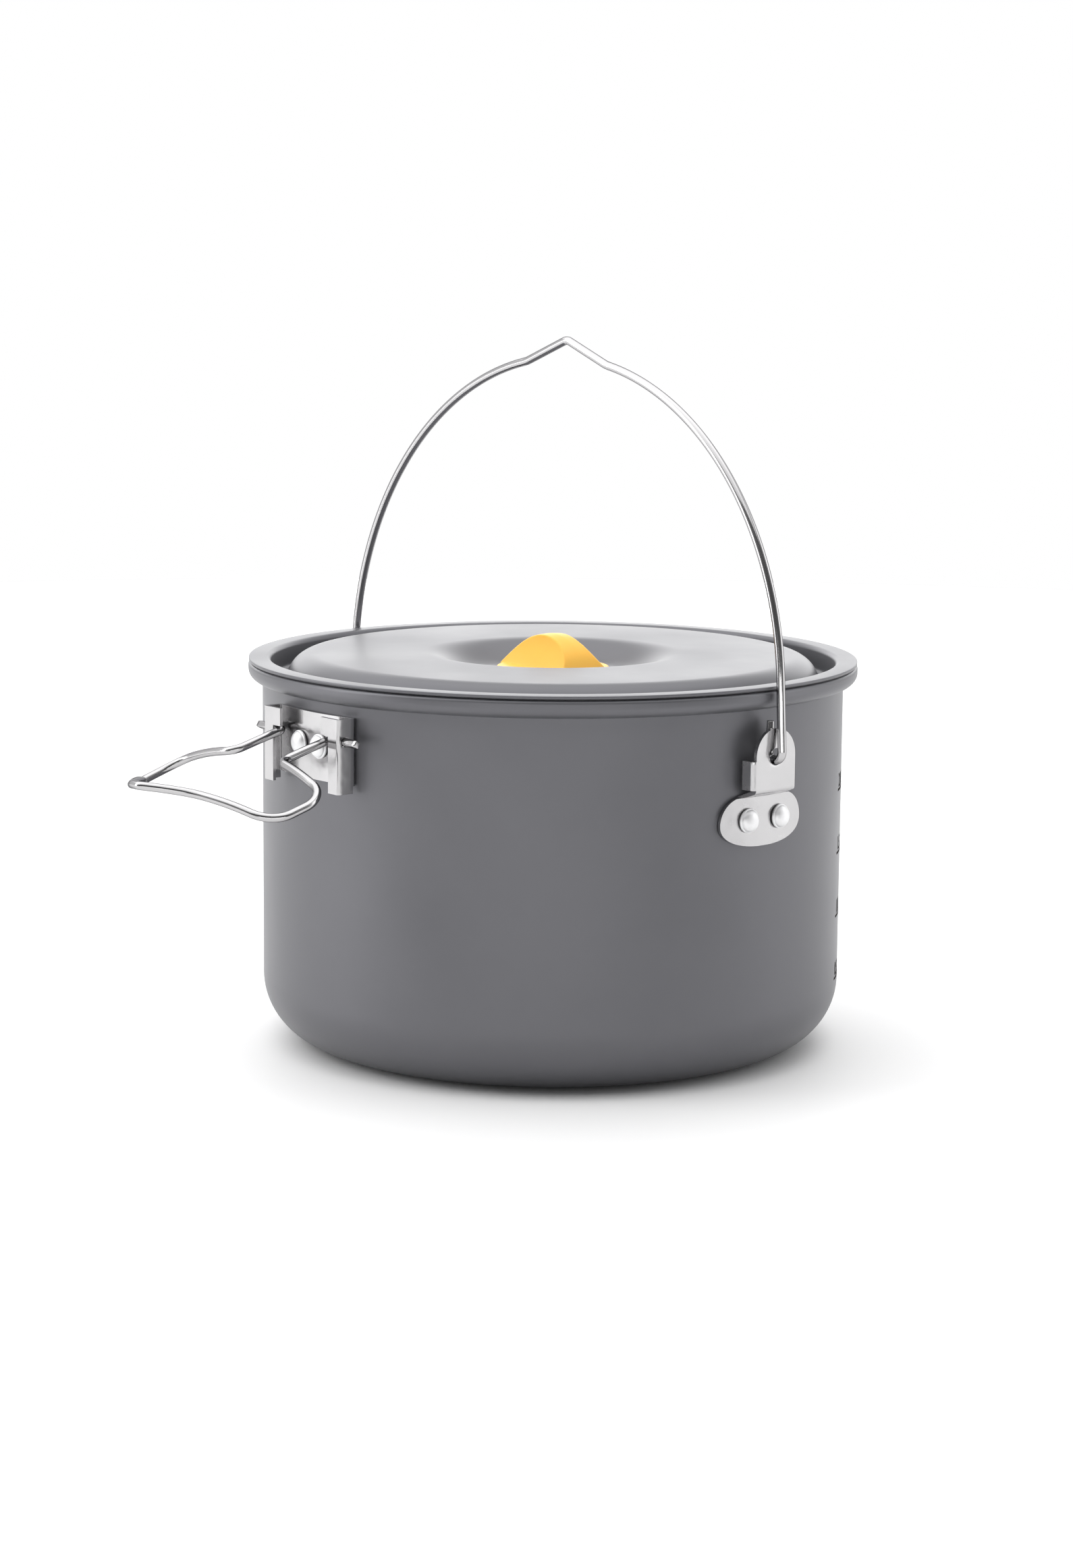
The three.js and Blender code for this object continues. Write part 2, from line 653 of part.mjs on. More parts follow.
const cookPot = new THREE.Group();
const lugRight = named("bail_lug_right", lug(), FINISH.nickel);
const lugLeft = named("bail_lug_left", lug(), FINISH.nickel);
lugLeft.scale.x = -1;
cookPot.add(
  named("pot_shell", potShell(), FINISH.anodised),
  lidGroup(),
  lugRight,
  lugLeft,
  ...placedRivets("lug_rivet_right", rivets.lug_right, LUG_T),
  ...placedRivets("lug_rivet_left", rivets.lug_left, LUG_T),
  ...placedRivets("bracket_rivet", rivets.handle, BRACKET_T),
  bail(),
  sideHandle(),
);

export default cookPot;
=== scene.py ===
"""Looks of a camping cook pot: pot, lid, knob, bail, lugs, side handle, rivets and marks.

Sizes are millimetres in the part's own frame, and meshes are made in metres.
"""

import json
import logging
import math
from dataclasses import dataclass, field
from enum import Enum
from typing import Callable, Optional, Sequence

import bmesh
import bpy
from mathutils import Matrix, Vector


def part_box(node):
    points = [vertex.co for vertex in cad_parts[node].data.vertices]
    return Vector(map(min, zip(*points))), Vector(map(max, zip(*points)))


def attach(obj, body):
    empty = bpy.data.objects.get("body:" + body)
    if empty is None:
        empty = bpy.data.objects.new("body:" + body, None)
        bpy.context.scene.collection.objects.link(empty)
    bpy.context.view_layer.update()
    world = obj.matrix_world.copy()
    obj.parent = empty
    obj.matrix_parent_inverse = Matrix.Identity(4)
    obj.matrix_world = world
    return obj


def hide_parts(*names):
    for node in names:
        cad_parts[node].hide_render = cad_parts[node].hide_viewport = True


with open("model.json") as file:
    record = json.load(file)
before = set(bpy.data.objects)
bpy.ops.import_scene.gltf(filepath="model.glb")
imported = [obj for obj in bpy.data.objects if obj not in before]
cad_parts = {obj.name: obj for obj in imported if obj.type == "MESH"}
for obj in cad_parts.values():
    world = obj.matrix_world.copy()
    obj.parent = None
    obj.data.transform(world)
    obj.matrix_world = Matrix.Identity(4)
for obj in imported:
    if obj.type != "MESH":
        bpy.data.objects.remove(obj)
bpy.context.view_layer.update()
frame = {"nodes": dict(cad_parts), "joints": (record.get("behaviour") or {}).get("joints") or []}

MM = 0.001
LOG = logging.getLogger("cook_pot")
Section = Callable[[float, float], float]


class Body(Enum):
    """The moving bodies that pieces ride on."""

    POT = "pot"
    LID = "lid"
    BAIL = "bail"
    SIDE_HANDLE = "side_handle"


# ---------------------------------------------------------------- shapes


@dataclass
class Corner:
    """One corner of a bent line: where it is and the radius it is bent to."""

    at: Vector
    bend: float = 0.0


def bent_line(corners: Sequence[Corner], step_deg: float = 6.0) -> list[Vector]:
    """Rounds the corners of a line.

    Args:
        corners: the corners in order, flat or in space.
        step_deg: the turn between two neighbouring points of a bend.

    Returns:
        The points of the line, with arcs at its bends.
    """
    line = [corners[0].at.copy()]
    for before, corner, after in zip(corners, corners[1:], corners[2:]):
        back = (before.at - corner.at).normalized()
        onward = (after.at - corner.at).normalized()
        turn = math.pi - back.angle(onward)
        if corner.bend <= 0 or turn < 0.005:
            line.append(corner.at.copy())
            continue
        reach = corner.bend * math.tan(turn / 2)
        middle = corner.at + (back + onward).normalized() * corner.bend / math.cos(turn / 2)
        first = corner.at + back * reach - middle
        second = corner.at + onward * reach - middle
        steps = max(2, math.ceil(turn / math.radians(step_deg)))
        for k in range(steps + 1):
            part = turn * k / steps
            mixed = first * math.sin(turn - part) + second * math.sin(part)
            line.append(middle + mixed / math.sin(turn))
    line.append(corners[-1].at.copy())
    return line


def arc(x: float, y: float, radius: float, start: float, end: float, steps: int,
        high: Optional[float] = None) -> list[Vector]:
    """Points of an arc, or of an ellipse when high is given.

    Args:
        x: the middle's first coordinate.
        y: the middle's second coordinate.
        radius: the radius, or the first half axis.
        start: first angle, in degrees.
        end: last angle, in degrees.
        steps: the number of steps between them.
        high: the second half axis.

    Returns:
        The points in order.
    """
    tall = radius if high is None else high
    angles = [math.radians(start + (end - start) * k / steps) for k in range(steps + 1)]
    return [Vector((x + radius * math.cos(a), y + tall * math.sin(a))) for a in angles]


def offset_line(line: Sequence[Vector], distance: float) -> list[Vector]:
    """Moves a flat line sideways, to its left, square to itself at each point.

    Args:
        line: the points of the line.
        distance: how far it moves.

    Returns:
        The moved points.
    """
    moved = []
    for k, at in enumerate(line):
        into = (at - line[max(k - 1, 0)]).normalized()
        out = (line[min(k + 1, len(line) - 1)] - at).normalized()
        along = (into + out).normalized()
        inner = 0 < k < len(line) - 1
        square = max(out.dot(along), 0.5) if inner else 1.0
        moved.append(at + Vector((-along.y, along.x)) * distance / square)
    return moved


@dataclass
class Mesh:
    """Points, faces and straightened coordinates gathered for one piece, in millimetres."""

    points: list[Vector] = field(default_factory=list)
    faces: list[tuple[int, ...]] = field(default_factory=list)
    straight: list[Vector] = field(default_factory=list)

    def row(self, points: Sequence[Vector], straight: Optional[Sequence[Vector]] = None) -> list[int]:
        """Adds a row of points.

        Args:
            points: the points.
            straight: where each would be if the piece were straightened out.

        Returns:
            The points' numbers.
        """
        first = len(self.points)
        self.points.extend(points)
        self.straight.extend(straight if straight is not None else points)
        return list(range(first, len(self.points)))

    def join(self, low: Sequence[int], high: Sequence[int], closed: bool = False) -> None:
        """Joins two rows of equal length with four-sided faces.

        Args:
            low: numbers of the first row.
            high: numbers of the second row.
            closed: whether each row runs round to its start.
        """
        count = len(low)
        for j in range(count if closed else count - 1):
            k = (j + 1) % count
            self.faces.append((low[j], low[k], high[k], high[j]))

    def cap(self, ring: Sequence[int], centre: Vector, flip: bool) -> None:
        """Closes a ring with a fan of triangles.

        Args:
            ring: numbers of the ring's points.
            centre: the fan's middle.
            flip: whether the fan faces back along the ring's order.
        """
        middle = self.row([centre], [centre])[0]
        for j, first in enumerate(ring):
            second = ring[(j + 1) % len(ring)]
            self.faces.append((second, first, middle) if flip else (first, second, middle))

    def lathe(self, profile: Sequence[Vector], flats: int = 192) -> None:
        """Turns a closed profile of (radius, height) about +Z.

        Args:
            profile: points that start and end on the axis, or close on themselves.
            flats: the number of steps round.
        """
        turns = [math.tau * k / flats for k in range(flats)]
        rows = []
        for at in profile:
            if at.x < 1e-6:
                rows.append(self.row([Vector((0, 0, at.y))]))
            else:
                ring = [Vector((at.x * math.cos(t), at.x * math.sin(t), at.y)) for t in turns]
                rows.append(self.row(ring))
        for low, high in zip(rows, rows[1:]):
            if len(low) == 1 and len(high) > 1:
                self.faces.extend((low[0], high[(j + 1) % flats], high[j]) for j in range(flats))
            elif len(high) == 1 and len(low) > 1:
                self.faces.extend((low[j], low[(j + 1) % flats], high[0]) for j in range(flats))
            elif len(low) > 1:
                self.join(low, high, closed=True)

    def sweep(self, line: Sequence[Vector], section: Section, sides: int = 20, edge: float = 0.3) -> None:
        """Runs a round section along a line, with softened ends.

        Args:
            line: the middle line.
            section: the radius at a length along the line and an angle round it.
            sides: the number of sides.
            edge: rounding of the two cut ends.
        """
        tangents = []
        for k in range(len(line)):
            ahead = line[min(k + 1, len(line) - 1)] - line[k]
            behind = line[k] - line[max(k - 1, 0)]
            tangents.append((ahead.normalized() + behind.normalized()).normalized())
        side = tangents[0].orthogonal().normalized()
        stations, length = [], 0.0
        for k, at in enumerate(line):
            if k:
                length += (at - line[k - 1]).length
                turn = tangents[k - 1].rotation_difference(tangents[k])
                side = (turn @ side).normalized()
            stations.append((at, tangents[k], side.copy(), length, 0.0))
        first, last = stations[0], stations[-1]
        soft = [(edge * (1 - math.cos(a)), edge * (1 - math.sin(a))) for a in (0.0, 0.5, 1.0)]
        starts = [(first[0] + first[1] * move, first[1], first[2], move, shrink) for move, shrink in soft]
        ends = [(last[0] - last[1] * move, last[1], last[2], length - move, shrink)
                for move, shrink in soft]
        rows = []
        for at, tangent, across, along, shrink in [*starts, *stations[1:-1], *reversed(ends)]:
            up = tangent.cross(across)
            ring, flat = [], []
            for j in range(sides):
                angle = math.tau * j / sides
                reach = section(along, angle) - shrink
                ring.append(at + (across * math.cos(angle) + up * math.sin(angle)) * reach)
                flat.append(Vector((reach * math.cos(angle), reach * math.sin(angle), along)))
            rows.append(self.row(ring, flat))
        for low, high in zip(rows, rows[1:]):
            self.join(low, high, closed=True)
        self.cap(rows[0], first[0], flip=True)
        self.cap(rows[-1], last[0], flip=False)

    def build(self, name: str, place: Matrix = Matrix.Identity(4)) -> bpy.types.Object:
        """Makes the object.

        Args:
            name: the piece's name.
            place: where the mesh goes in the part's frame, in millimetres.

        Returns:
            The new object, smooth shaded and in metres.
        """
        data = bpy.data.meshes.new(name)
        data.from_pydata([(place @ p) * MM for p in self.points], [], self.faces)
        layer = data.attributes.new("straight", "FLOAT_VECTOR", "POINT")
        layer.data.foreach_set("vector", [c * MM for v in self.straight for c in v])
        work = bmesh.new()
        work.from_mesh(data)
        bmesh.ops.remove_doubles(work, verts=work.verts, dist=2e-6)
        bmesh.ops.recalc_face_normals(work, faces=work.faces)
        work.to_mesh(data)
        work.free()
        data.shade_smooth()
        made = bpy.data.objects.new(name, data)
        bpy.context.scene.collection.objects.link(made)
        return made


def modifier(piece: bpy.types.Object, kind: str, **settings: object) -> None:
    """Adds a modifier to a piece.

    Args:
        piece: the object.
        kind: the modifier's type.
        **settings: its properties.
    """
    made = piece.modifiers.new(kind.lower(), kind)
    for name, value in settings.items():
        setattr(made, name, value)


def settle(piece: bpy.types.Object) -> None:
    """Turns a piece's modifiers into its mesh.

    Args:
        piece: the piece.
    """
    bpy.context.view_layer.update()
    shaped = piece.evaluated_get(bpy.context.evaluated_depsgraph_get())
    data = bpy.data.meshes.new_from_object(shaped)
    piece.modifiers.clear()
    piece.data = data
    data.shade_smooth()


def finish_piece(piece: bpy.types.Object, material: bpy.types.Material, body: Body, slot: str,
                 *nodes: str) -> None:
    """Gives a piece its finish and its body, and hides the CAD nodes it stands for.

    Args:
        piece: the object.
        material: its finish.
        body: what it moves with.
        slot: the record's slot; not used.
        *nodes: the CAD nodes it replaces.
    """
    piece.data.materials.clear()
    piece.data.materials.append(material)
    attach(piece, body.value)
    if nodes:
        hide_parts(*nodes)
    LOG.info("%s rides on %s", piece.name, body.value)


# ---------------------------------------------------------------- finishes


def linear(colour: str) -> tuple[float, float, float, float]:
    """Turns an sRGB hex colour such as #808080 to linear red, green, blue and alpha."""
    parts = [int(colour[k:k + 2], 16) / 255 for k in (1, 3, 5)]
    straight = [p / 12.92 if p <= 0.04045 else ((p + 0.055) / 1.055) ** 2.4 for p in parts]
    return (*straight, 1.0)


def add_node(tree: bpy.types.NodeTree, kind: str, inputs: Optional[dict] = None,
             **settings: object) -> bpy.types.Node:
    """Adds a node with its settings, values and links.

    Args:
        tree: the node tree.
        kind: the node's type.
        inputs: a value or an output socket for each named or numbered input.
        **settings: the node's own properties.

    Returns:
        The node.
    """
    made = tree.nodes.new(kind)
    for name, value in settings.items():
        setattr(made, name, value)
    for name, value in (inputs or {}).items():
        if isinstance(value, bpy.types.NodeSocket):
            tree.links.new(value, made.inputs[name])
        else:
            made.inputs[name].default_value = value
    return made


def blank(name: str) -> bpy.types.Material:
    """Makes a material with an empty node tree."""
    material = bpy.data.materials.new(name)
    material.use_nodes = True
    material.node_tree.nodes.clear()
    return material


def per_metre(size_mm: float) -> float:
    """The scale at which a pattern repeats about once in a size given in millimetres."""
    return 1 / (size_mm * MM)


def noise(tree: bpy.types.NodeTree, place: bpy.types.NodeSocket, size_mm: float,
          detail: float) -> bpy.types.NodeSocket:
    """A soft random pattern whose blotches are about one size, in millimetres."""
    return add_node(tree, "ShaderNodeTexNoise", {
        "Vector": place, "Scale": per_metre(size_mm), "Detail": detail}).outputs["Fac"]


def spread(tree: bpy.types.NodeTree, value: bpy.types.NodeSocket, low: float, high: float,
           start: float = 0.3, end: float = 0.7) -> bpy.types.NodeSocket:
    """Maps a pattern's values from start..end to low..high."""
    return add_node(tree, "ShaderNodeMapRange", {
        "Value": value, "From Min": start, "From Max": end,
        "To Min": low, "To Max": high}).outputs["Result"]


def blend(tree: bpy.types.NodeTree, share: bpy.types.NodeSocket, first: str,
          second: str) -> bpy.types.NodeSocket:
    """Mixes two sRGB hex colours by a pattern."""
    return add_node(tree, "ShaderNodeMix", {
        0: share, "A": linear(first), "B": linear(second)}, data_type="RGBA").outputs["Result"]


def relief(tree: bpy.types.NodeTree, height: bpy.types.NodeSocket, strength: float, depth_mm: float,
           under: Optional[bpy.types.NodeSocket] = None) -> bpy.types.NodeSocket:
    """Turns a pattern into bumps of a depth in millimetres, on top of other bumps when under is given.

    Args:
        tree: the material's node tree.
        height: the pattern.
        strength: the share of the bumps that shows, 0 to 1.
        depth_mm: their full depth.
        under: the normal of other bumps below these.

    Returns:
        The bumped normal.
    """
    inputs = {"Height": height, "Strength": strength, "Distance": depth_mm * MM}
    if under is not None:
        inputs["Normal"] = under
    return add_node(tree, "ShaderNodeBump", inputs).outputs["Normal"]


def surface(tree: bpy.types.NodeTree, inputs: dict) -> None:
    """Adds the surface shader with its inputs, and shows it."""
    shader = add_node(tree, "ShaderNodeBsdfPrincipled", inputs)
    add_node(tree, "ShaderNodeOutputMaterial", {"Surface": shader.outputs[0]})


@dataclass(frozen=True)
class HardAnodisedAluminium:
    """Hard-anodised drawn aluminium: a dark grey oxide with a fine satin grain.

    The oxide scatters light softly and brightens at a grazing angle. The draw leaves faint rings.
    """

    colour: str = "#6d6d71"
    deep: str = "#606064"
    metallic: float = 0.55
    roughness: float = 0.4
    grain_mm: float = 0.5  # the real blast grain is 0.1 mm, drawn coarser so that it shows
    cloud_mm: float = 38.0
    ring_mm: float = 1.3

    def build(self, name: str) -> bpy.types.Material:
        """Makes the material under a name.

        Args:
            name: the material's name.

        Returns:
            The material.
        """
        material = blank(name)
        tree = material.node_tree
        place = add_node(tree, "ShaderNodeTexCoord").outputs["Object"]
        cloud = noise(tree, place, self.cloud_mm, 4.0)
        apart = add_node(tree, "ShaderNodeSeparateXYZ", {"Vector": place})
        flat = add_node(tree, "ShaderNodeCombineXYZ", {"X": apart.outputs["X"], "Y": apart.outputs["Y"]})
        radius = add_node(tree, "ShaderNodeVectorMath", {0: flat.outputs[0]}, operation="LENGTH")
        turned = add_node(tree, "ShaderNodeCombineXYZ", {
            "X": radius.outputs["Value"], "Z": apart.outputs["Z"]})
        rings = noise(tree, turned.outputs[0], self.ring_mm, 2.0)
        fine = relief(tree, noise(tree, place, self.grain_mm, 3.0), 0.10, 0.05)
        surface(tree, {
            "Base Color": blend(tree, cloud, self.deep, self.colour), "Metallic": self.metallic,
            "Roughness": spread(tree, cloud, self.roughness - 0.03, self.roughness + 0.04),
            "Normal": relief(tree, rings, 0.12, 0.03, fine)})
        return material


@dataclass(frozen=True)
class DrawnStainlessWire:
    """Bright-drawn stainless wire: mirror-like, with fine drag lines along its length.

    The lines come from the drawing die and break the reflections into long streaks.
    """

    colour: str = "#b8b7b8"
    rim: str = "#727274"  # painted shade: a darker edge tint along both sides of a thin bright wire
    roughness: float = 0.13
    line_mm: float = 0.25
    line_length_mm: float = 14.0

    def build(self, name: str) -> bpy.types.Material:
        """Makes the material under a name.

        Args:
            name: the material's name.

        Returns:
            The material.
        """
        material = blank(name)
        tree = material.node_tree
        place = add_node(tree, "ShaderNodeAttribute", attribute_name="straight")
        across = per_metre(self.line_mm)
        stretched = add_node(tree, "ShaderNodeMapping", {
            "Vector": place.outputs["Vector"], "Scale": (across, across, per_metre(self.line_length_mm))})
        lines = add_node(tree, "ShaderNodeTexNoise", {
            "Vector": stretched.outputs[0], "Scale": 1.0, "Detail": 3.0}).outputs["Fac"]
        surface(tree, {
            # the rim tint darkens the wire's sides at a grazing view: painted shade standing in for dark
            # reflections
            "Base Color": linear(self.colour), "Specular Tint": linear(self.rim), "Metallic": 1.0,
            "Roughness": spread(tree, lines, self.roughness - 0.04, self.roughness + 0.14, 0.35, 0.75),
            "Normal": relief(tree, lines, 0.25, 0.02)})
        return material


@dataclass(frozen=True)
class TumbledStainlessSheet:
    """Pressed stainless sheet, tumble polished: bright, slightly wavy, with small nicks.

    Pressing leaves a soft waviness that bends reflections, and tumbling leaves tiny dents.
    """

    colour: str = "#bcbbbc"
    roughness: float = 0.19
    wave_mm: float = 8.0
    nick_mm: float = 0.7

    def build(self, name: str) -> bpy.types.Material:
        """Makes the material under a name.

        Args:
            name: the material's name.

        Returns:
            The material.
        """
        material = blank(name)
        tree = material.node_tree
        place = add_node(tree, "ShaderNodeTexCoord").outputs["Object"]
        wave = noise(tree, place, self.wave_mm, 2.0)
        nicks = add_node(tree, "ShaderNodeTexVoronoi", {"Vector": place, "Scale": per_metre(self.nick_mm)})
        dents = spread(tree, nicks.outputs["Distance"], 0.0, 1.0, 0.0, 0.22)
        surface(tree, {
            "Base Color": linear(self.colour), "Metallic": 1.0,
            "Roughness": spread(tree, wave, self.roughness - 0.08, self.roughness + 0.12),
            "Normal": relief(tree, dents, 0.12, 0.02, relief(tree, wave, 0.5, 0.3))})
        return material


@dataclass(frozen=True)
class HeadedMetal:
    """Cold-headed or turned metal: softly shining, with a faint hammered skin.

    It is used for aluminium rivets, a zinc-plated screw and a brass insert, by its colour.
    """

    colour: str
    roughness: float = 0.3
    skin_mm: float = 0.9

    def build(self, name: str) -> bpy.types.Material:
        """Makes the material under a name.

        Args:
            name: the material's name.

        Returns:
            The material.
        """
        material = blank(name)
        tree = material.node_tree
        place = add_node(tree, "ShaderNodeTexCoord").outputs["Object"]
        skin = noise(tree, place, self.skin_mm, 3.0)
        surface(tree, {
            "Base Color": linear(self.colour), "Metallic": 1.0,
            "Roughness": spread(tree, skin, self.roughness - 0.06, self.roughness + 0.08),
            "Normal": relief(tree, skin, 0.25, 0.03)})
        return material


@dataclass(frozen=True)
class MouldedSilicone:
    """Moulded silicone rubber: warm yellow, soft sheen, light passing a little way in.

    The mould's fine spark texture takes the hard edge off its highlights.
    """

    colour: str = "#ffc64a"
    shade: str = "#ffbc3c"
    roughness: float = 0.42
    texture_mm: float = 0.35
    cloud_mm: float = 9.0
    depth_mm: float = 1.2

    def build(self, name: str) -> bpy.types.Material:
        """Makes the material under a name.

        Args:
            name: the material's name.

        Returns:
            The material.
        """
        material = blank(name)
        tree = material.node_tree
        place = add_node(tree, "ShaderNodeTexCoord").outputs["Object"]
        cloud = noise(tree, place, self.cloud_mm, 2.0)
        surface(tree, {
            "Base Color": blend(tree, cloud, self.shade, self.colour),
            "Roughness": self.roughness, "IOR": 1.43,
            "Subsurface Weight": 0.15, "Subsurface Radius": (1.0, 0.6, 0.2),
            "Subsurface Scale": self.depth_mm * MM,
            "Normal": relief(tree, noise(tree, place, self.texture_mm, 2.0), 0.2, 0.04)})
        return material


@dataclass(frozen=True)
class PadPrintedInk:
    """Pad-printed ink, burnt in: a thin dark film, slightly mottled and matt."""

    colour: str = "#2b2726"
    mottle: str = "#3a3534"
    speck_mm: float = 0.6

    def build(self, name: str) -> bpy.types.Material:
        """Makes the material under a name.

        Args:
            name: the material's name.

        Returns:
            The material.
        """
        material = blank(name)
        tree = material.node_tree
        place = add_node(tree, "ShaderNodeTexCoord").outputs["Object"]
        specks = noise(tree, place, self.speck_mm, 2.0)
        surface(tree, {
            "Base Color": blend(tree, specks, self.colour, self.mottle), "Roughness": 0.9,
            "Specular IOR Level": 0.0})
        return material


# ---------------------------------------------------------------- pot and lid


@dataclass
class PotShell:
    """The drawn pot with its rolled rim."""

    wall_r: float = 91.0
    height: float = 119.9
    wall: float = 1.0
    corner_r: float = 20.8
    rim_out: float = 4.4
    rim_h: float = 5.7
    rim_side: float = 2.3  # from the rim's top down to its widest
    crest_r: float = 1.2
    neck: float = 0.6
    mouth_r: float = 1.6

    def profile(self) -> list[Vector]:
        """The closed section, from the axis under the base round to the axis inside.

        Returns:
            Its corners in order.
        """
        corner_x = self.wall_r - self.corner_r
        roll_x = self.wall_r + self.neck
        crest_x = self.wall_r + self.rim_out - self.crest_r
        foot_z = self.height - self.rim_h
        inner_r = self.corner_r - self.wall
        return [
            Vector((0, 0)),
            Vector((corner_x * 0.5, 0)),
            *arc(corner_x, self.corner_r, self.corner_r, -90, 0, 24),
            Vector((self.wall_r, self.height / 2)),
            *arc(self.wall_r + 0.4, foot_z - 0.3, 0.4, 180, 100, 4),
            *arc(roll_x, self.height - self.rim_side, self.rim_out - self.neck, -72, 0, 16,
                 self.rim_h - self.rim_side),
            *arc(crest_x, self.height - self.crest_r, self.crest_r, 0, 90, 8),
            *arc(roll_x, self.height - self.mouth_r, self.mouth_r, 90, 180, 8),
            Vector((self.wall_r - self.wall, self.height / 2)),
            *arc(corner_x, self.corner_r, inner_r, 0, -90, 24),
            Vector((corner_x * 0.5, self.wall)),
            Vector((0, self.wall)),
        ]

    def build(self, finish: bpy.types.Material) -> None:
        """Makes the pot."""
        mesh = Mesh()
        mesh.lathe(self.profile())
        finish_piece(mesh.build("pot_body"), finish, Body.POT, "anodised", "pot_shell")


@dataclass
class Graduations:
    """Volume marks on the wall: a figure and a line for each half litre."""

    wall_r: float = 91.0
    first_z: float = 22.0
    pitch: float = 20.0
    labels: tuple[str, ...] = ("0.5 L", "1.0 L", "1.5 L", "2.0 L")
    line_turn: float = 34.2  # degrees from +X to the line's start
    text_in: float = 1.2  # from the line's start to the figure
    text_h: float = 4.5
    line_w: float = 12.0
    line_h: float = 0.7
    film: float = 0.04
    text_up: float = 1.2  # from the line's bottom to the figure
    type_size: float = 1.38  # font size for a figure of height 1
    narrow: float = 0.72

    def on_wall(self, across: float, up: float, out: float) -> Vector:
        """A point of the print: across from the line's start, up, and out from the wall."""
        turn = math.radians(self.line_turn) + across / self.wall_r
        radius = self.wall_r + out
        return Vector((radius * math.cos(turn), radius * math.sin(turn), up))

    def line(self, mesh: Mesh, z: float) -> None:
        """Adds one line of the print to a mesh, as a thin closed strip.

        Args:
            mesh: the mesh to add to.
            z: height of the line on the wall.
        """
        steps = 12
        rings = []
        for k in range(steps + 1):
            across = self.line_w * k / steps
            corners = [(0.0, 0.01), (self.line_h, 0.01), (self.line_h, self.film), (0.0, self.film)]
            rings.append(mesh.row([self.on_wall(across, z + up, out) for up, out in corners]))
        for low, high in zip(rings, rings[1:]):
            mesh.join(low, high, closed=True)
        mesh.faces.extend([tuple(rings[0]), tuple(reversed(rings[-1]))])

    def figure(self, mesh: Mesh, label: str, z: float) -> None:
        """Adds one figure to a mesh, laid round the wall.

        Args:
            mesh: the mesh to add to.
            label: the figure's text.
            z: height of the line on the wall.
        """
        curve = bpy.data.curves.new("figure", "FONT")
        curve.body = label
        curve.size = self.text_h * self.type_size
        curve.extrude = self.film / 2
        curve.resolution_u = 3
        holder = bpy.data.objects.new("figure", curve)
        bpy.context.scene.collection.objects.link(holder)
        bpy.context.view_layer.update()
        flat = bpy.data.meshes.new_from_object(holder.evaluated_get(bpy.context.evaluated_depsgraph_get()))
        points = []
        for vertex in flat.vertices:
            x, y, out = vertex.co
            across = self.text_in + x * self.narrow
            points.append(self.on_wall(across, z + self.text_up + y, 0.01 + self.film / 2 + out))
        numbers = mesh.row(points)
        mesh.faces.extend(tuple(numbers[v] for v in face.vertices) for face in flat.polygons)
        bpy.data.objects.remove(holder)
        bpy.data.curves.remove(curve)
        bpy.data.meshes.remove(flat)

    def build(self, finish: bpy.types.Material) -> None:
        """Makes the print.

        Args:
            finish: the material to dress it in.
        """
        mesh = Mesh()
        for k, label in enumerate(self.labels):
            z = self.first_z + self.pitch * k
            self.line(mesh, z)
            self.figure(mesh, label, z)
        finish_piece(mesh.build("volume_marks"), finish, Body.POT, "anodised")


@dataclass
class LidPan:
    """The pressed lid: flange, skirt, channel, raised middle and dish."""

    thick: float = 1.0
    edge_r: float = 95.3
    flange_z: float = 121.2
    skirt_r: float = 88.4  # upper face of the skirt
    channel_depth: float = 8.0
    channel_w: float = 4.8
    top_z: float = 122.3
    shoulder_r: float = 9.1
    dish_r: float = 41.5
    dish_ease: float = 1.35  # how softly the dish starts at its outer edge
    floor_r: float = 25.0
    dish_depth: float = 5.8
    hole_r: float = 2.0

    def face(self) -> list[Vector]:
        """The upper face, from the flange's edge to the hole.

        Returns:
            Its points in order.
        """
        floor_z = self.flange_z - self.channel_depth
        shoulder = self.skirt_r - self.channel_w
        steps = 28
        dish = []
        for k in range(steps + 1):
            wave = (1 + math.cos(math.pi * (k / steps) ** self.dish_ease)) / 2
            radius = self.dish_r + (self.floor_r - self.dish_r) * k / steps
            dish.append(Vector((radius, self.top_z - self.dish_depth * (1 - wave))))
        return [
            *arc(self.edge_r - 0.35, self.flange_z - 0.35, 0.35, 20, 90, 4),
            *arc(self.skirt_r + 1.6, self.flange_z - 1.6, 1.6, 90, 180, 8),
            *arc(self.skirt_r - 1.8, floor_z + 1.8, 1.8, 0, -90, 8),
            *arc(shoulder + 1.2, floor_z + 1.2, 1.2, -90, -172, 7),
            *arc(shoulder - self.shoulder_r, self.top_z - self.shoulder_r, self.shoulder_r, 8, 90, 18),
            Vector((60, self.top_z)),
            *dish,
            Vector((self.hole_r, self.top_z - self.dish_depth)),
        ]

    def build(self, finish: bpy.types.Material) -> None:
        """Makes the lid.

        Args:
            finish: the material to dress it in.
        """
        top = self.face()
        under = offset_line(top, self.thick)
        under[0] = Vector((self.edge_r - 0.1, self.flange_z - self.thick))
        mesh = Mesh()
        loop = [*top, *reversed(under)]
        mesh.lathe([*loop, loop[0]])
        finish_piece(mesh.build("lid"), finish, Body.LID, "anodised", "lid_pan")


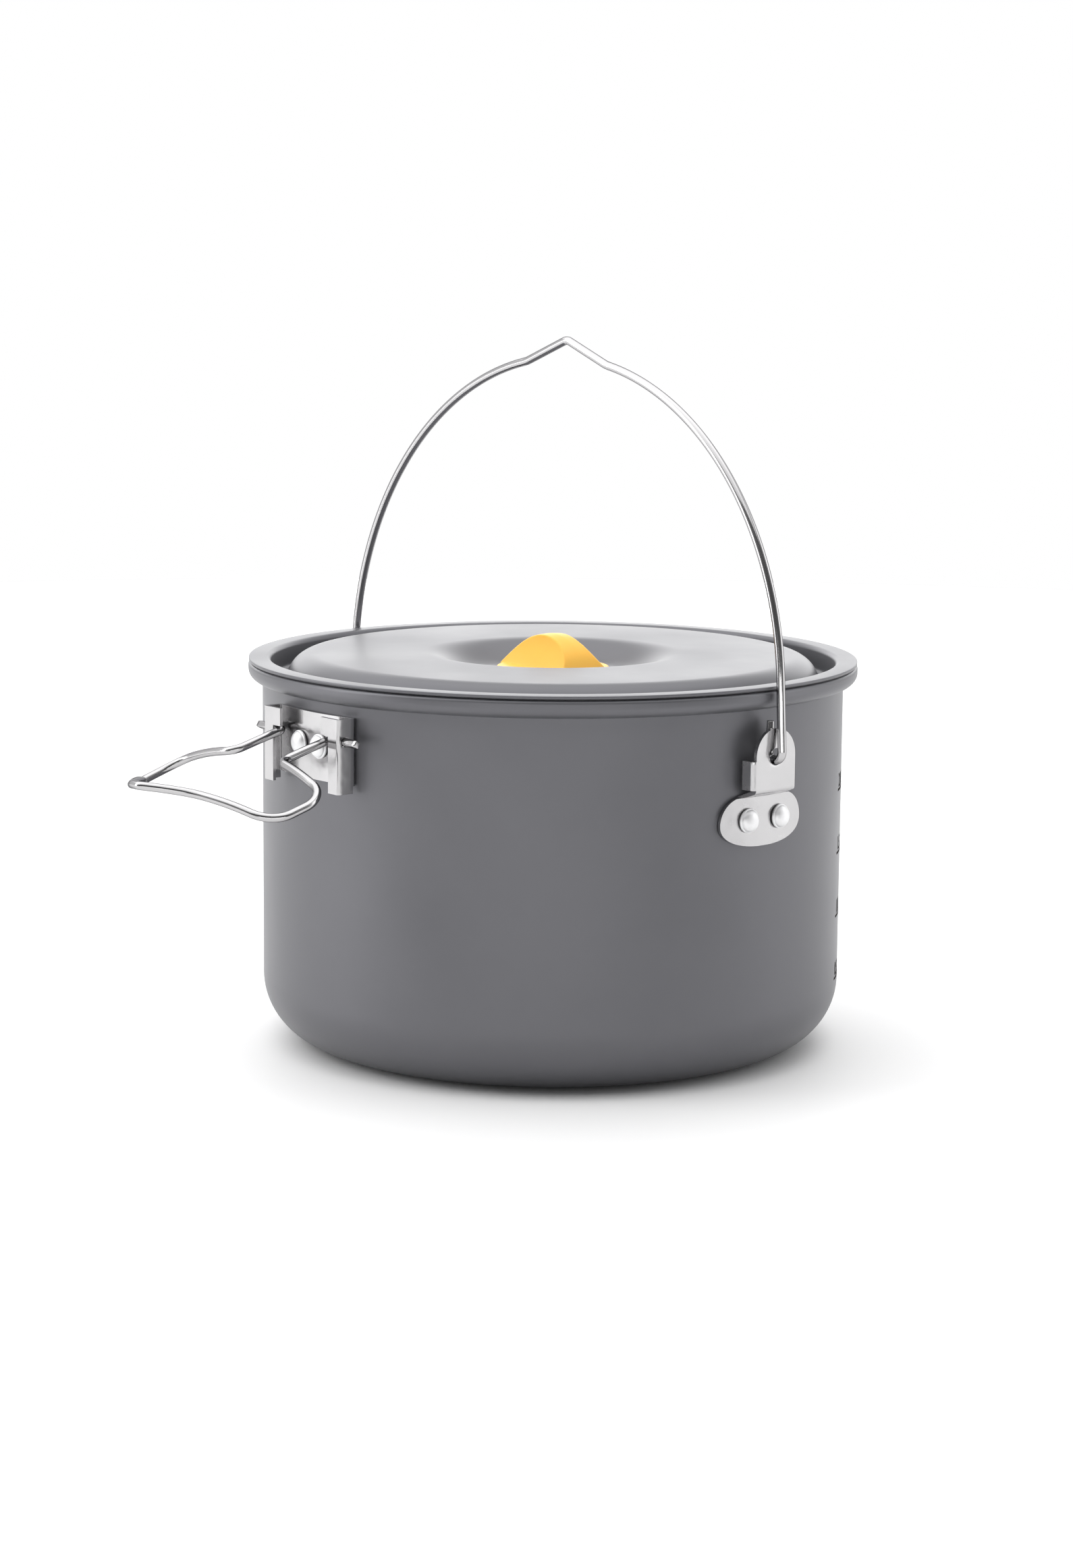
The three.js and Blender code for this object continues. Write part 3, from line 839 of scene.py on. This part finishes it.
@dataclass
class LidKnob:
    """The moulded knob: a thin round base and a curved grip whose sides flare to the base."""

    foot_z: float
    base_r: float = 17.7
    base_t: float = 1.2
    grip_l: float = 32.0
    grip_h: float = 9.9
    crest_t: float = 7.8
    foot_t: float = 17.5
    flare: float = 1.7  # how late its sides flare out to the base
    turn: float = -5.0
    voxel: float = 0.3
    rows: int = 48

    def half_thickness(self, height: float) -> float:
        """Half the grip's thickness at a height above the base disc."""
        above = min(max(1 - height / self.grip_h, 0.0), 1.0)
        return self.crest_t / 2 + (self.foot_t - self.crest_t) / 2 * above ** self.flare

    def grip(self, mesh: Mesh) -> None:
        """Adds the grip to a mesh.

        Args:
            mesh: the mesh to add to.
        """
        crest_r = (self.grip_l ** 2 / 4 + self.grip_h ** 2) / (2 * self.grip_h)
        base = self.foot_z + self.base_t
        rings = []
        for k in range(self.rows + 1):
            x = -math.cos(math.pi * k / self.rows) * self.grip_l / 2
            top = max(math.sqrt(crest_r ** 2 - x ** 2) - (crest_r - self.grip_h), 0.02)
            side = [Vector((x, self.half_thickness(top * q / 10), base + top * q / 10)) for q in range(11)]
            side.insert(0, Vector((x, self.half_thickness(0), base - 0.7)))
            crown = top + 0.25 * min(1.0, top / 4)
            ridge = Vector((x, 0, base + crown))
            other = [Vector((p.x, -p.y, p.z)) for p in reversed(side)]
            rings.append(mesh.row([*side, ridge, *other]))
        for low, high in zip(rings, rings[1:]):
            mesh.join(low, high, closed=True)
        mesh.faces.extend([tuple(rings[0]), tuple(reversed(rings[-1]))])

    def build(self, finish: bpy.types.Material) -> None:
        """Makes the knob as one moulded body with softened edges.

        Args:
            finish: the material to dress it in.
        """
        edge = self.base_t / 2
        mesh = Mesh()
        mesh.lathe([
            Vector((0, self.foot_z)),
            *arc(self.base_r - edge, self.foot_z + edge, edge, -90, 90, 8),
            Vector((0, self.foot_z + self.base_t)),
        ], 96)
        self.grip(mesh)
        knob = mesh.build("knob", Matrix.Rotation(math.radians(self.turn), 4, "Z"))
        modifier(knob, "REMESH", mode="VOXEL", voxel_size=self.voxel * MM, use_smooth_shade=True)
        modifier(knob, "SMOOTH", factor=0.5, iterations=5)
        settle(knob)
        finish_piece(knob, finish, Body.LID, "knob_plastic", "lid_knob")


# ---------------------------------------------------------------- wire


def crimped(radius: float, length: float, crimp: float, flat: float) -> Section:
    """A round section whose two ends are pressed nearly square.

    Args:
        radius: the wire's radius.
        length: the wire's whole length.
        crimp: how far the pressed ends reach.
        flat: the half width across the pressed flats.

    Returns:
        The section, by length and angle.
    """
    def reach(along: float, angle: float) -> float:
        """The radius there."""
        near = min(along, length - along)
        share = min(max((crimp - near) / 0.8, 0.0), 1.0)
        square = min(radius * 1.04, flat / max(abs(math.cos(angle)), abs(math.sin(angle))))
        return radius + (square - radius) * share
    return reach


def run_length(line: Sequence[Vector]) -> float:
    """The length of a line through points."""
    return sum((b - a).length for a, b in zip(line, line[1:]))


@dataclass
class BailWire:
    """The carrying handle: an arch with a pointed crown and a hook at each foot."""

    pivot: Vector
    tongue_mid: float
    wire_r: float = 1.3
    hook_r: float = 2.5
    hook_in: float = 2.4
    hook_out: float = 3.1
    tail_h: float = 11.4
    spring: float = 14.8
    rise: float = 99.8
    lean: float = 5.3
    crown_half: float = 18.0
    crown_up: float = 7.2
    crown_r: float = 3.5
    kink_r: float = 11.0
    tilt: float = 2.3
    arch_steps: int = 80
    crimp: float = 3.6  # reach of the pressed ends
    crimp_flat: float = 0.8  # half width across the flats, as a share of the radius

    def half(self) -> list[Corner]:
        """Half of the middle line, from the tail's end to the crown, about the pivot.

        Returns:
            Its corners in order.
        """
        lean = math.radians(self.lean)
        foot = self.tongue_mid + self.hook_out
        tail = self.tongue_mid - self.hook_in
        rise = (self.spring + self.rise * math.sin(lean)) * math.tan(lean)
        span = foot / (math.cos(lean) + rise / self.rise)
        kink = math.acos(self.crown_half / span)
        angles = [lean + (kink - lean) * k / self.arch_steps for k in range(self.arch_steps)]
        arch = [Vector((span * math.cos(a), 0, self.spring + self.rise * math.sin(a))) for a in angles]
        kink_z = self.spring + self.rise * math.sin(kink)
        return [
            Corner(Vector((tail, 0, self.tail_h))),
            Corner(Vector((tail, 0, 0)), self.hook_r),
            Corner(Vector((foot, 0, 0)), self.hook_r),
            *(Corner(p) for p in arch),
            Corner(Vector((self.crown_half, 0, kink_z)), self.kink_r),
            Corner(Vector((0, 0, kink_z + self.crown_up)), self.crown_r),
        ]

    def build(self, finish: bpy.types.Material) -> None:
        """Makes the bail.

        Args:
            finish: the material to dress it in.
        """
        half = self.half()
        other = [Corner(Vector((-c.at.x, 0, c.at.z)), c.bend) for c in reversed(half[:-1])]
        line = bent_line([*half, *other])
        mesh = Mesh()
        mesh.sweep(line, crimped(self.wire_r, run_length(line), self.crimp, self.wire_r * self.crimp_flat))
        place = Matrix.Translation(self.pivot) @ Matrix.Rotation(-math.radians(self.tilt), 4, "X")
        finish_piece(mesh.build("bail", place), finish, Body.BAIL, "wire", "bail_wire")


@dataclass
class SideHandleWire:
    """The folding loop: stubs in the bracket, two arms, wide shoulders and a narrow tip."""

    hinge: Vector
    turn: float
    wall_r: float = 91.0
    hinge_out: float = 2.3
    wire_r: float = 1.3
    stub_end: float = 25.8
    arm: float = 12.5
    arm_bend: float = 2.5
    blend_end: float = 21.6
    fold_gap: float = 0.6
    droop: float = 14.2
    loop: tuple[tuple[float, float, float, float], ...] = (
        (12.5, 19.1, 0.9, 4.0),
        (39.4, 22.8, 3.0, 8.0),
        (38.6, 41.8, 1.2, 10.0),
        (13.2, 50.4, 2.4, 14.0),
        (1.9, 60.4, 5.8, 1.8),
    )
    crimp: float = 4.2  # reach of the pressed ends
    crimp_flat: float = 0.8  # half width across the flats, as a share of the radius

    def folded(self, flat: Vector) -> Vector:
        """A point of the folded loop, which hugs the wall.

        Args:
            flat: how far across, how far down from the hinge, and how far it stands off.

        Returns:
            The point, about the hinge.
        """
        across, along, off = flat
        hug = self.wall_r + self.wire_r + self.fold_gap
        on_wall = math.sqrt(hug ** 2 - across ** 2) - (self.wall_r + self.hinge_out)
        share = min(max(along / self.blend_end, 0.0), 1.0)
        smooth = share * share * (3 - 2 * share)
        return Vector((on_wall * smooth + off, across, -along))

    def line(self) -> list[Vector]:
        """The middle line, bent flat first and then laid round the wall.

        Returns:
            Its points in order.
        """
        half = [
            Corner(Vector((self.stub_end, 0, 0))),
            Corner(Vector((self.arm, 0, 0)), self.arm_bend),
            *(Corner(Vector((across, along, off)), bend) for across, along, off, bend in self.loop),
        ]
        other = [Corner(Vector((-c.at.x, c.at.y, c.at.z)), c.bend) for c in reversed(half)]
        bent = bent_line([*half, *other])
        points = [bent[0]]
        for before, at in zip(bent, bent[1:]):
            count = max(1, math.ceil((at - before).length / 1.5))
            points.extend(before.lerp(at, k / count) for k in range(1, count + 1))
        return [self.folded(p) for p in points]

    def build(self, finish: bpy.types.Material) -> None:
        """Makes the side handle.

        Args:
            finish: the material to dress it in.
        """
        line = self.line()
        mesh = Mesh()
        mesh.sweep(line, crimped(self.wire_r, run_length(line), self.crimp, self.wire_r * self.crimp_flat))
        place = (
            Matrix.Translation(self.hinge)
            @ Matrix.Rotation(math.radians(self.turn), 4, "Z")
            @ Matrix.Rotation(math.radians(self.droop - 90), 4, "Y")
        )
        piece = mesh.build("side_handle", place)
        finish_piece(piece, finish, Body.SIDE_HANDLE, "wire", "side_handle_wire")


# ---------------------------------------------------------------- sheet metal


def pressed(piece: bpy.types.Object, thick: float, edge: float) -> None:
    """Thickens a middle surface to sheet and rounds its sheared edges.

    Args:
        piece: the object that holds the middle surface.
        thick: the sheet's thickness.
        edge: the rounding.
    """
    modifier(piece, "SOLIDIFY", thickness=thick * MM, offset=0.0, use_even_offset=True)
    modifier(piece, "BEVEL", width=edge * MM, segments=3,
             limit_method="ANGLE", angle_limit=math.radians(50))
    settle(piece)
    modifier(piece, "WEIGHTED_NORMAL", keep_sharp=True)


@dataclass
class BailLug:
    """A stepped lug: a curved foot plate, a tongue with the bail's hole, and a side tab."""

    side: int
    pivot_z: float
    wall_r: float = 91.0
    touch: float = 0.3
    thick: float = 1.15
    half_w: float = 16.8
    foot_h: float = 15.4
    foot_drop: float = 26.1
    step_out: float = 4.45
    step_h: float = 1.7
    step_bend: float = 0.75
    step_land: float = 0.6  # straight stretch above the step
    tab_bend: float = 0.75
    lobe_share: float = 0.47  # where the foot plate is widest, up its height
    tongue_half: float = 8.2
    hole_r: float = 2.6
    hole_up: float = 1.0
    tab_h: float = 9.7
    tab_depth: float = 3.2
    columns: int = 15
    edge: float = 0.28  # rounding of the pressed edges

    @property
    def tongue_mid(self) -> float:
        """How far out the tongue's middle surface stands."""
        return self.wall_r + self.touch + self.thick / 2 + self.step_out

    @property
    def tongue_low(self) -> float:
        """The tongue's bottom edge."""
        return self.pivot_z - self.foot_drop + self.foot_h + self.step_h + self.step_land

    def half_width(self, height: float) -> float:
        """Half the foot plate's width at a height above its bottom edge.

        Args:
            height: height above the bottom edge.

        Returns:
            The half width.
        """
        lobe = self.foot_h * self.lobe_share
        if height < lobe:
            return self.half_w * (1 - (1 - height / lobe) ** 2.3) ** (1 / 2.3)
        up = min((height - lobe) / (self.foot_h - lobe), 1.0)
        return self.tongue_half + (self.half_w - self.tongue_half) * math.sqrt(1 - up ** 2)

    def foot_rows(self, mesh: Mesh) -> None:
        """Adds the foot plate and the step up to the tongue.

        Args:
            mesh: the mesh to add to.
        """
        bottom = self.pivot_z - self.foot_drop
        foot = self.wall_r + self.touch + self.thick / 2
        lobe = self.foot_h * self.lobe_share
        heights = [0.02 + (lobe - 0.02) * (k / 14) ** 2 for k in range(14)]
        heights += [lobe + (self.foot_h - lobe) * math.sin(math.pi / 2 * k / 16) for k in range(16)]
        step = bent_line([
            Corner(Vector((foot, self.foot_h - 1.2))),
            Corner(Vector((foot, self.foot_h)), self.step_bend),
            Corner(Vector((self.tongue_mid, self.foot_h + self.step_h)), self.step_bend),
            Corner(Vector((self.tongue_mid, self.foot_h + self.step_h + self.step_land))),
        ], 12)
        middle = [Vector((foot, h)) for h in heights if h < self.foot_h - 1.25] + step
        rows = []
        for at in middle:
            half = self.half_width(at.y)
            flat = min(max((at.x - foot) / self.step_out, 0.0), 1.0)
            row = []
            for j in range(self.columns):
                y = half * (2 * j / (self.columns - 1) - 1)
                radius = self.wall_r + self.touch
                sag = (1 - flat) * (radius - math.sqrt(radius ** 2 - y ** 2))
                row.append(Vector((at.x - sag, y, bottom + at.y)))
            rows.append(mesh.row(row))
        for low, high in zip(rows, rows[1:]):
            mesh.join(low, high)

    def tongue_outline(self) -> list[Vector]:
        """The tongue's outline as (y, z), from its bottom left corner round to it again.

        Returns:
            Its points in order.
        """
        half, low = self.tongue_half, self.tongue_low
        middle = self.pivot_z + 1.3
        steps = 9
        bottom = [Vector((half * (2 * j / (self.columns - 1) - 1), low)) for j in range(self.columns)]
        right = [Vector((half, low + (middle - low) * k / steps)) for k in range(1, steps)]
        dome = arc(0, middle, half, 0, 180, 24)
        left = [Vector((-p.x, p.y)) for p in reversed(right)]
        return [*bottom, *right, *dome, *left]

    def tongue(self, mesh: Mesh) -> None:
        """Adds the tongue round its hole.

        Args:
            mesh: the mesh to add to.
        """
        outline = self.tongue_outline()
        hole = Vector((0, self.pivot_z + self.hole_up))
        rings = []
        for share in (0.0, 0.12, 0.35, 0.65, 1.0):
            ring = []
            for p in outline:
                edge = hole + (p - hole).normalized() * self.hole_r
                at = edge.lerp(p, share)
                ring.append(Vector((self.tongue_mid, at.x, at.y)))
            rings.append(mesh.row(ring))
        for low, high in zip(rings, rings[1:]):
            mesh.join(low, high, closed=True)

    def tab(self, mesh: Mesh) -> None:
        """Adds the side tab, folded back from the tongue's edge towards the wall.

        Args:
            mesh: the mesh to add to.
        """
        top = self.tongue_low + self.tab_h
        edge = [p.y for p in self.tongue_outline() if p.x < -self.tongue_half + 1e-6]
        heights = sorted(z for z in edge if z < top)
        radius = self.tab_bend
        fold = arc(self.tongue_mid - radius, -self.tongue_half, radius, 0, -90, 5)
        ends = [*fold, Vector((self.tongue_mid - radius - self.tab_depth, -self.tongue_half - radius))]
        columns = [mesh.row([Vector((p.x, p.y, z)) for z in heights]) for p in ends]
        for first, second in zip(columns, columns[1:]):
            mesh.join(first, second)

    def build(self, finish: bpy.types.Material) -> None:
        """Makes the lug on its side of the pot.

        Args:
            finish: the material to dress it in.
        """
        mesh = Mesh()
        self.foot_rows(mesh)
        self.tongue(mesh)
        self.tab(mesh)
        word = "right" if self.side > 0 else "left"
        piece = mesh.build(f"lug_{word}", Matrix.Diagonal((self.side, 1, 1, 1)))
        pressed(piece, self.thick, self.edge)
        finish_piece(piece, finish, Body.POT, "sheet_steel", f"bail_lug_{word}")


@dataclass
class HandleBracket:
    """The side handle's bracket: a curved back plate with two flanges and turned-in lips."""

    hinge: Vector
    turn: float
    wall_r: float = 91.0
    touch: float = 0.3
    thick: float = 1.0
    half_w: float = 19.5
    out: float = 5.0
    hinge_out: float = 2.3
    up: float = 6.8
    down: float = 15.6
    back_down: float = 13.4
    lip_upper: float = 10.7
    lip_lower: float = 14.5
    lip_step: float = 1.4
    bend: float = 0.45
    hole_r: float = 1.5
    hole_cell: float = 1.75
    edge: float = 0.22  # rounding of the pressed edges

    def section(self) -> tuple[list[Vector], dict[str, int]]:
        """Half of the section as (x out, y across), from the lip's edge to the middle of the back.

        Returns:
            The points, and the numbers of the columns where its zones start.
        """
        front = self.wall_r + self.out - self.thick / 2
        side = self.half_w - self.thick / 2
        back_r = self.wall_r + self.touch + self.thick / 2
        hinge_x = self.wall_r + self.hinge_out
        points = [Vector((front, self.lip_upper)), Vector((front, (self.lip_upper + self.lip_lower) / 2))]
        marks = {"lower_lip": len(points)}
        points += [Vector((front, self.lip_lower)), Vector((front, (self.lip_lower + side) / 2))]
        points += arc(front - self.bend, side - self.bend, self.bend, 0, 90, 5)
        marks["hole"] = len(points)
        points += [Vector((hinge_x + self.hole_cell * k / 2, side)) for k in (2, 1, 0, -1, -2)]
        corner_x = math.sqrt(back_r ** 2 - side ** 2)
        marks["back"] = len(points)
        points += [Vector((corner_x + 0.7, side)), Vector((corner_x + 0.25, side - 0.2))]
        points += [Vector((corner_x + 0.1, side - 0.7))]
        for k in range(1, 13):
            y = (side - 1.2) * (1 - k / 12)
            points.append(Vector((math.sqrt(back_r ** 2 - y ** 2), y)))
        return points, marks

    def heights(self) -> list[float]:
        """Rows of the mesh, above the hinge.

        Returns:
            The heights in order.
        """
        cell = self.hole_cell
        return [
            -self.down, -self.down + 0.7, -self.back_down, -9.0, -5.0, -cell, -cell / 2, 0.0, cell / 2,
            cell, 4.0, self.up,
        ]

    def half(self, mesh: Mesh, sign: int) -> None:
        """Adds one half of the bracket to a mesh.

        Args:
            mesh: the mesh to add to.
            sign: 1 or -1 for the half's side.
        """
        points, marks = self.section()
        rows = sorted([*self.heights(), self.lip_step])
        grid = [mesh.row([Vector((p.x, sign * p.y, z)) for p in points]) for z in rows]
        hole = range(marks["hole"], marks["hole"] + 4)
        for i, (low, high) in enumerate(zip(rows, rows[1:])):
            for j in range(len(points) - 1):
                in_notch = j < marks["lower_lip"] and high <= self.lip_step
                under = j >= marks["back"] and high <= -self.back_down
                in_hole = j in hole and abs(low + high) < 2 * self.hole_cell and abs(low) <= self.hole_cell
                if in_notch or under or in_hole:
                    continue
                mesh.faces.append((grid[i][j], grid[i][j + 1], grid[i + 1][j + 1], grid[i + 1][j]))
        self.hole(mesh, sign, [z for z in rows if abs(z) <= self.hole_cell])

    def hole(self, mesh: Mesh, sign: int, rows: Sequence[float]) -> None:
        """Adds the ring of faces round the hinge hole, inside its square of the flange.

        Args:
            mesh: the mesh to add to.
            sign: 1 or -1 for the half's side.
            rows: heights of the rows round the hole.
        """
        hinge_x = self.wall_r + self.hinge_out
        side = sign * (self.half_w - self.thick / 2)
        cell = self.hole_cell
        xs = [cell, cell / 2, 0.0, -cell / 2, -cell]
        square = [(x, rows[0]) for x in xs]
        square += [(-cell, z) for z in rows[1:]]
        square += [(x, rows[-1]) for x in reversed(xs[:-1])]
        square += [(cell, z) for z in reversed(rows[1:-1])]
        rings = []
        for share in (0.0, 0.5, 1.0):
            ring = []
            for x, z in square:
                far = math.hypot(x, z)
                reach = self.hole_r + (far - self.hole_r) * share
                ring.append(Vector((hinge_x + x / far * reach, side, z / far * reach)))
            rings.append(mesh.row(ring))
        for low, high in zip(rings, rings[1:]):
            mesh.join(low, high, closed=True)

    def build(self, finish: bpy.types.Material) -> None:
        """Makes the bracket.

        Args:
            finish: the material to dress it in.
        """
        mesh = Mesh()
        for sign in (1, -1):
            self.half(mesh, sign)
        place = Matrix.Translation((0, 0, self.hinge.z)) @ Matrix.Rotation(math.radians(self.turn), 4, "Z")
        piece = mesh.build("bracket", place)
        pressed(piece, self.thick, self.edge)
        finish_piece(piece, finish, Body.POT, "sheet_steel", "handle_bracket")


@dataclass
class Rivet:
    """A solid rivet: a domed head on a low collar outside and a flat head inside."""

    name: str
    turn: float
    z: float
    plate: float
    wall_r: float = 91.0
    wall: float = 1.0
    touch: float = 0.3
    shank_r: float = 1.7
    dome_r: float = 3.7
    dome_h: float = 2.4
    head_r: float = 3.1
    head_t: float = 0.9

    def build(self, finish: bpy.types.Material) -> None:
        """Makes the rivet along its own radius.

        Args:
            finish: the material to dress it in.
        """
        seat = self.wall_r + 2 * self.touch + self.plate
        inside = self.wall_r - self.wall - self.touch - 0.1
        collar = 0.7
        mesh = Mesh()
        mesh.lathe([
            Vector((0, inside - self.head_t)),
            *arc(self.head_r - 0.6, inside - self.head_t + 0.6, 0.6, -90, 0, 6),
            *arc(self.head_r - 0.1, inside - 0.1, 0.1, 0, 90, 2),
            Vector((self.shank_r, inside)),
            Vector((self.shank_r, seat)),
            *arc(self.dome_r - 0.25, seat + 0.25, 0.25, -90, 0, 4),
            *arc(self.dome_r - 0.25, seat + collar - 0.25, 0.25, 0, 80, 4),
            *arc(0, seat + collar - 0.05, self.dome_r - 0.35, 4, 90, 14, self.dome_h - collar + 0.05),
        ], 48)
        place = (
            Matrix.Translation((0, 0, self.z))
            @ Matrix.Rotation(math.radians(self.turn), 4, "Z")
            @ Matrix.Rotation(math.pi / 2, 4, "Y")
        )
        finish_piece(mesh.build(f"{self.name}_head", place), finish, Body.POT, "rivet", self.name)


# ---------------------------------------------------------------- studio


@dataclass
class Studio:
    """The floor, the soft lights and the camera."""

    azimuth: float = 47.3  # degrees, 0 looks along +Y
    elevation: float = 9.28
    distance: float = 1100.0
    aim_right: float = -4.857
    aim_up: float = 80.142
    roll: float = 0.0082
    lens: float = 79.9
    floor_r: float = 1400.0
    floor_flats: int = 96
    lit_height: float = 0.09  # where the lights aim, in metres
    far_white: float = 1.0  # brightness of the surround behind the pot
    near_white: float = 0.12  # and in front of it
    bright_to: float = -0.1  # facing up to which the surround is brightest
    dim_from: float = 0.75  # and from which it is dimmest
    sensor: float = 36.0
    clip_end: float = 200.0

    def axes(self) -> tuple[Vector, Vector]:
        """The horizontal directions to the camera's right and from the object towards the camera."""
        a = math.radians(self.azimuth)
        return Vector((math.cos(a), math.sin(a), 0)), Vector((math.sin(a), -math.cos(a), 0))

    def spot(self, right: float, toward: float, up: float) -> Vector:
        """A place in the studio, in metres, by its distances right, towards the camera and up."""
        across, near = self.axes()
        return across * right + near * toward + Vector((0, 0, up))

    def camera(self) -> None:
        """Makes the camera."""
        across, near = self.axes()
        tip = math.radians(self.elevation)
        aim = across * self.aim_right * MM + Vector((0, 0, self.aim_up * MM))
        back = near * math.cos(tip) + Vector((0, 0, math.sin(tip)))
        data = bpy.data.cameras.new("camera")
        data.lens = self.lens
        data.sensor_width = self.sensor
        data.clip_end = self.clip_end
        made = bpy.data.objects.new("camera", data)
        upright = back.cross(across)
        turn = Matrix((across, upright, back)).transposed().to_4x4()
        made.matrix_world = Matrix.Translation(aim + back * self.distance * MM) @ turn @ Matrix.Rotation(
            self.roll, 4, "Z")
        bpy.context.scene.collection.objects.link(made)
        bpy.context.scene.camera = made

    def light(self, name: str, place: Vector, size: tuple[float, float], power: float) -> None:
        """Makes one soft area light aimed at the pot.

        Args:
            name: its name.
            place: where it stands, in metres.
            size: its width and height, in metres.
            power: its power in watts.
        """
        data = bpy.data.lights.new(name, "AREA")
        data.shape = "RECTANGLE"
        data.size, data.size_y = size
        data.energy = power
        made = bpy.data.objects.new(name, data)
        aim = Vector((0, 0, self.lit_height)) - place
        made.matrix_world = Matrix.Translation(place) @ aim.to_track_quat("-Z", "Y").to_matrix().to_4x4()
        bpy.context.scene.collection.objects.link(made)

    def surround(self) -> None:
        """Makes the pale surround, which is darker on the side that the camera stands on."""
        world = bpy.data.worlds.new("studio")
        bpy.context.scene.world = world
        world.use_nodes = True
        tree = world.node_tree
        tree.nodes.clear()
        near = self.axes()[1]
        place = add_node(tree, "ShaderNodeTexCoord")
        facing = add_node(tree, "ShaderNodeVectorMath", {
            0: place.outputs["Generated"], 1: tuple(near)}, operation="DOT_PRODUCT")
        shade = add_node(tree, "ShaderNodeMapRange", {
            "Value": facing.outputs["Value"], "From Min": self.bright_to, "From Max": self.dim_from,
            "To Min": self.far_white, "To Max": self.near_white}, interpolation_type="SMOOTHSTEP")
        back = add_node(tree, "ShaderNodeBackground", {
            "Color": (1.0, 1.0, 1.0, 1.0), "Strength": shade.outputs["Result"]})
        add_node(tree, "ShaderNodeOutputWorld", {"Surface": back.outputs[0]})

    def floor(self) -> None:
        """Makes the plain pale floor."""
        mesh = Mesh()
        turns = [math.tau * k / self.floor_flats for k in range(self.floor_flats)]
        edge = [Vector((math.cos(t), math.sin(t), 0)) * self.floor_r for t in turns]
        mesh.faces.append(tuple(mesh.row(edge)))
        made = mesh.build("floor")
        material = blank("pale_floor")
        tree = material.node_tree
        surface(tree, {"Base Color": linear("#f4f4f4"), "Roughness": 0.6, "Specular IOR Level": 0.2})
        made.data.materials.append(material)

    def build(self) -> None:
        """Makes the whole studio."""
        self.camera()
        self.surround()
        self.floor()
        self.light("overhead", self.spot(-0.3, 0.0, 1.8), (3.2, 3.2), 37.0)
        self.light("back_panel", self.spot(0.0, -1.9, 0.6), (2.6, 0.8), 11.5)
        self.light("left_panel", self.spot(-1.3, 0.15, 0.6), (0.6, 1.2), 6.8)
        self.light("right_panel", self.spot(1.3, 0.0, 0.5), (0.7, 1.2), 3.0)
        self.light("front_panel", self.spot(0.0, 1.9, 0.12), (2.4, 0.22), 5.0)
        bpy.context.scene.view_settings.view_transform = "Standard"


# ---------------------------------------------------------------- the whole object


def joint(name: str) -> dict:
    """A joint of the frame by its name."""
    return next(j for j in frame["joints"] if j["name"] == name)


def main() -> None:
    """Builds every piece in order and reports each."""
    logging.basicConfig(level=logging.INFO, format="%(message)s")
    Studio().build()
    anodised = HardAnodisedAluminium().build("hard_anodised_aluminium")
    wire = DrawnStainlessWire().build("bright_drawn_stainless_wire")
    sheet = TumbledStainlessSheet().build("tumbled_stainless_sheet")
    rivet = HeadedMetal("#e6e6e7", 0.52).build("headed_aluminium")
    zinc = HeadedMetal("#c3c6c8", 0.34).build("zinc_plated_steel")
    brass = HeadedMetal("#b6a268", 0.3).build("turned_brass")
    silicone = MouldedSilicone().build("moulded_yellow_silicone")
    ink = PadPrintedInk().build("pad_printed_ink")

    shell = PotShell(height=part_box("pot_shell")[1].z / MM)
    shell.build(anodised)
    Graduations(wall_r=shell.wall_r).build(ink)
    LidPan().build(anodised)
    LidKnob(foot_z=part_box("lid_knob")[0].z / MM).build(silicone)

    pivot = Vector(joint("bail_swing")["pos_m"]) / MM
    for side in (1, -1):
        lug = BailLug(side, pivot.z)
        lug.build(sheet)
    BailWire(pivot, lug.tongue_mid).build(wire)

    fold = joint("side_handle_fold")
    hinge = Vector(fold["pos_m"]) / MM
    turn = math.degrees(math.atan2(hinge.y, hinge.x))
    HandleBracket(hinge, turn).build(sheet)
    SideHandleWire(hinge, turn).build(wire)

    lug_step = math.degrees(6.5 / shell.wall_r)
    bracket_step = math.degrees(5.0 / shell.wall_r)
    for prefix, middle, step, z, plate in (
        ("lug_rivet_right", 0.0, lug_step, pivot.z - 18, 1.15),
        ("lug_rivet_left", 180.0, lug_step, pivot.z - 18, 1.15),
        ("bracket_rivet", turn, bracket_step, hinge.z - 3, 1.0),
    ):
        for k, off in enumerate((-step, step), 1):
            Rivet(f"{prefix}_{k}", middle + off, z, plate).build(rivet)

    for node, material in (("knob_insert", brass), ("knob_screw", zinc), ("knob_washer", zinc)):
        cad = frame["nodes"][node]
        cad.data.materials.clear()
        cad.data.materials.append(material)


if __name__ == "__main__":
    main()
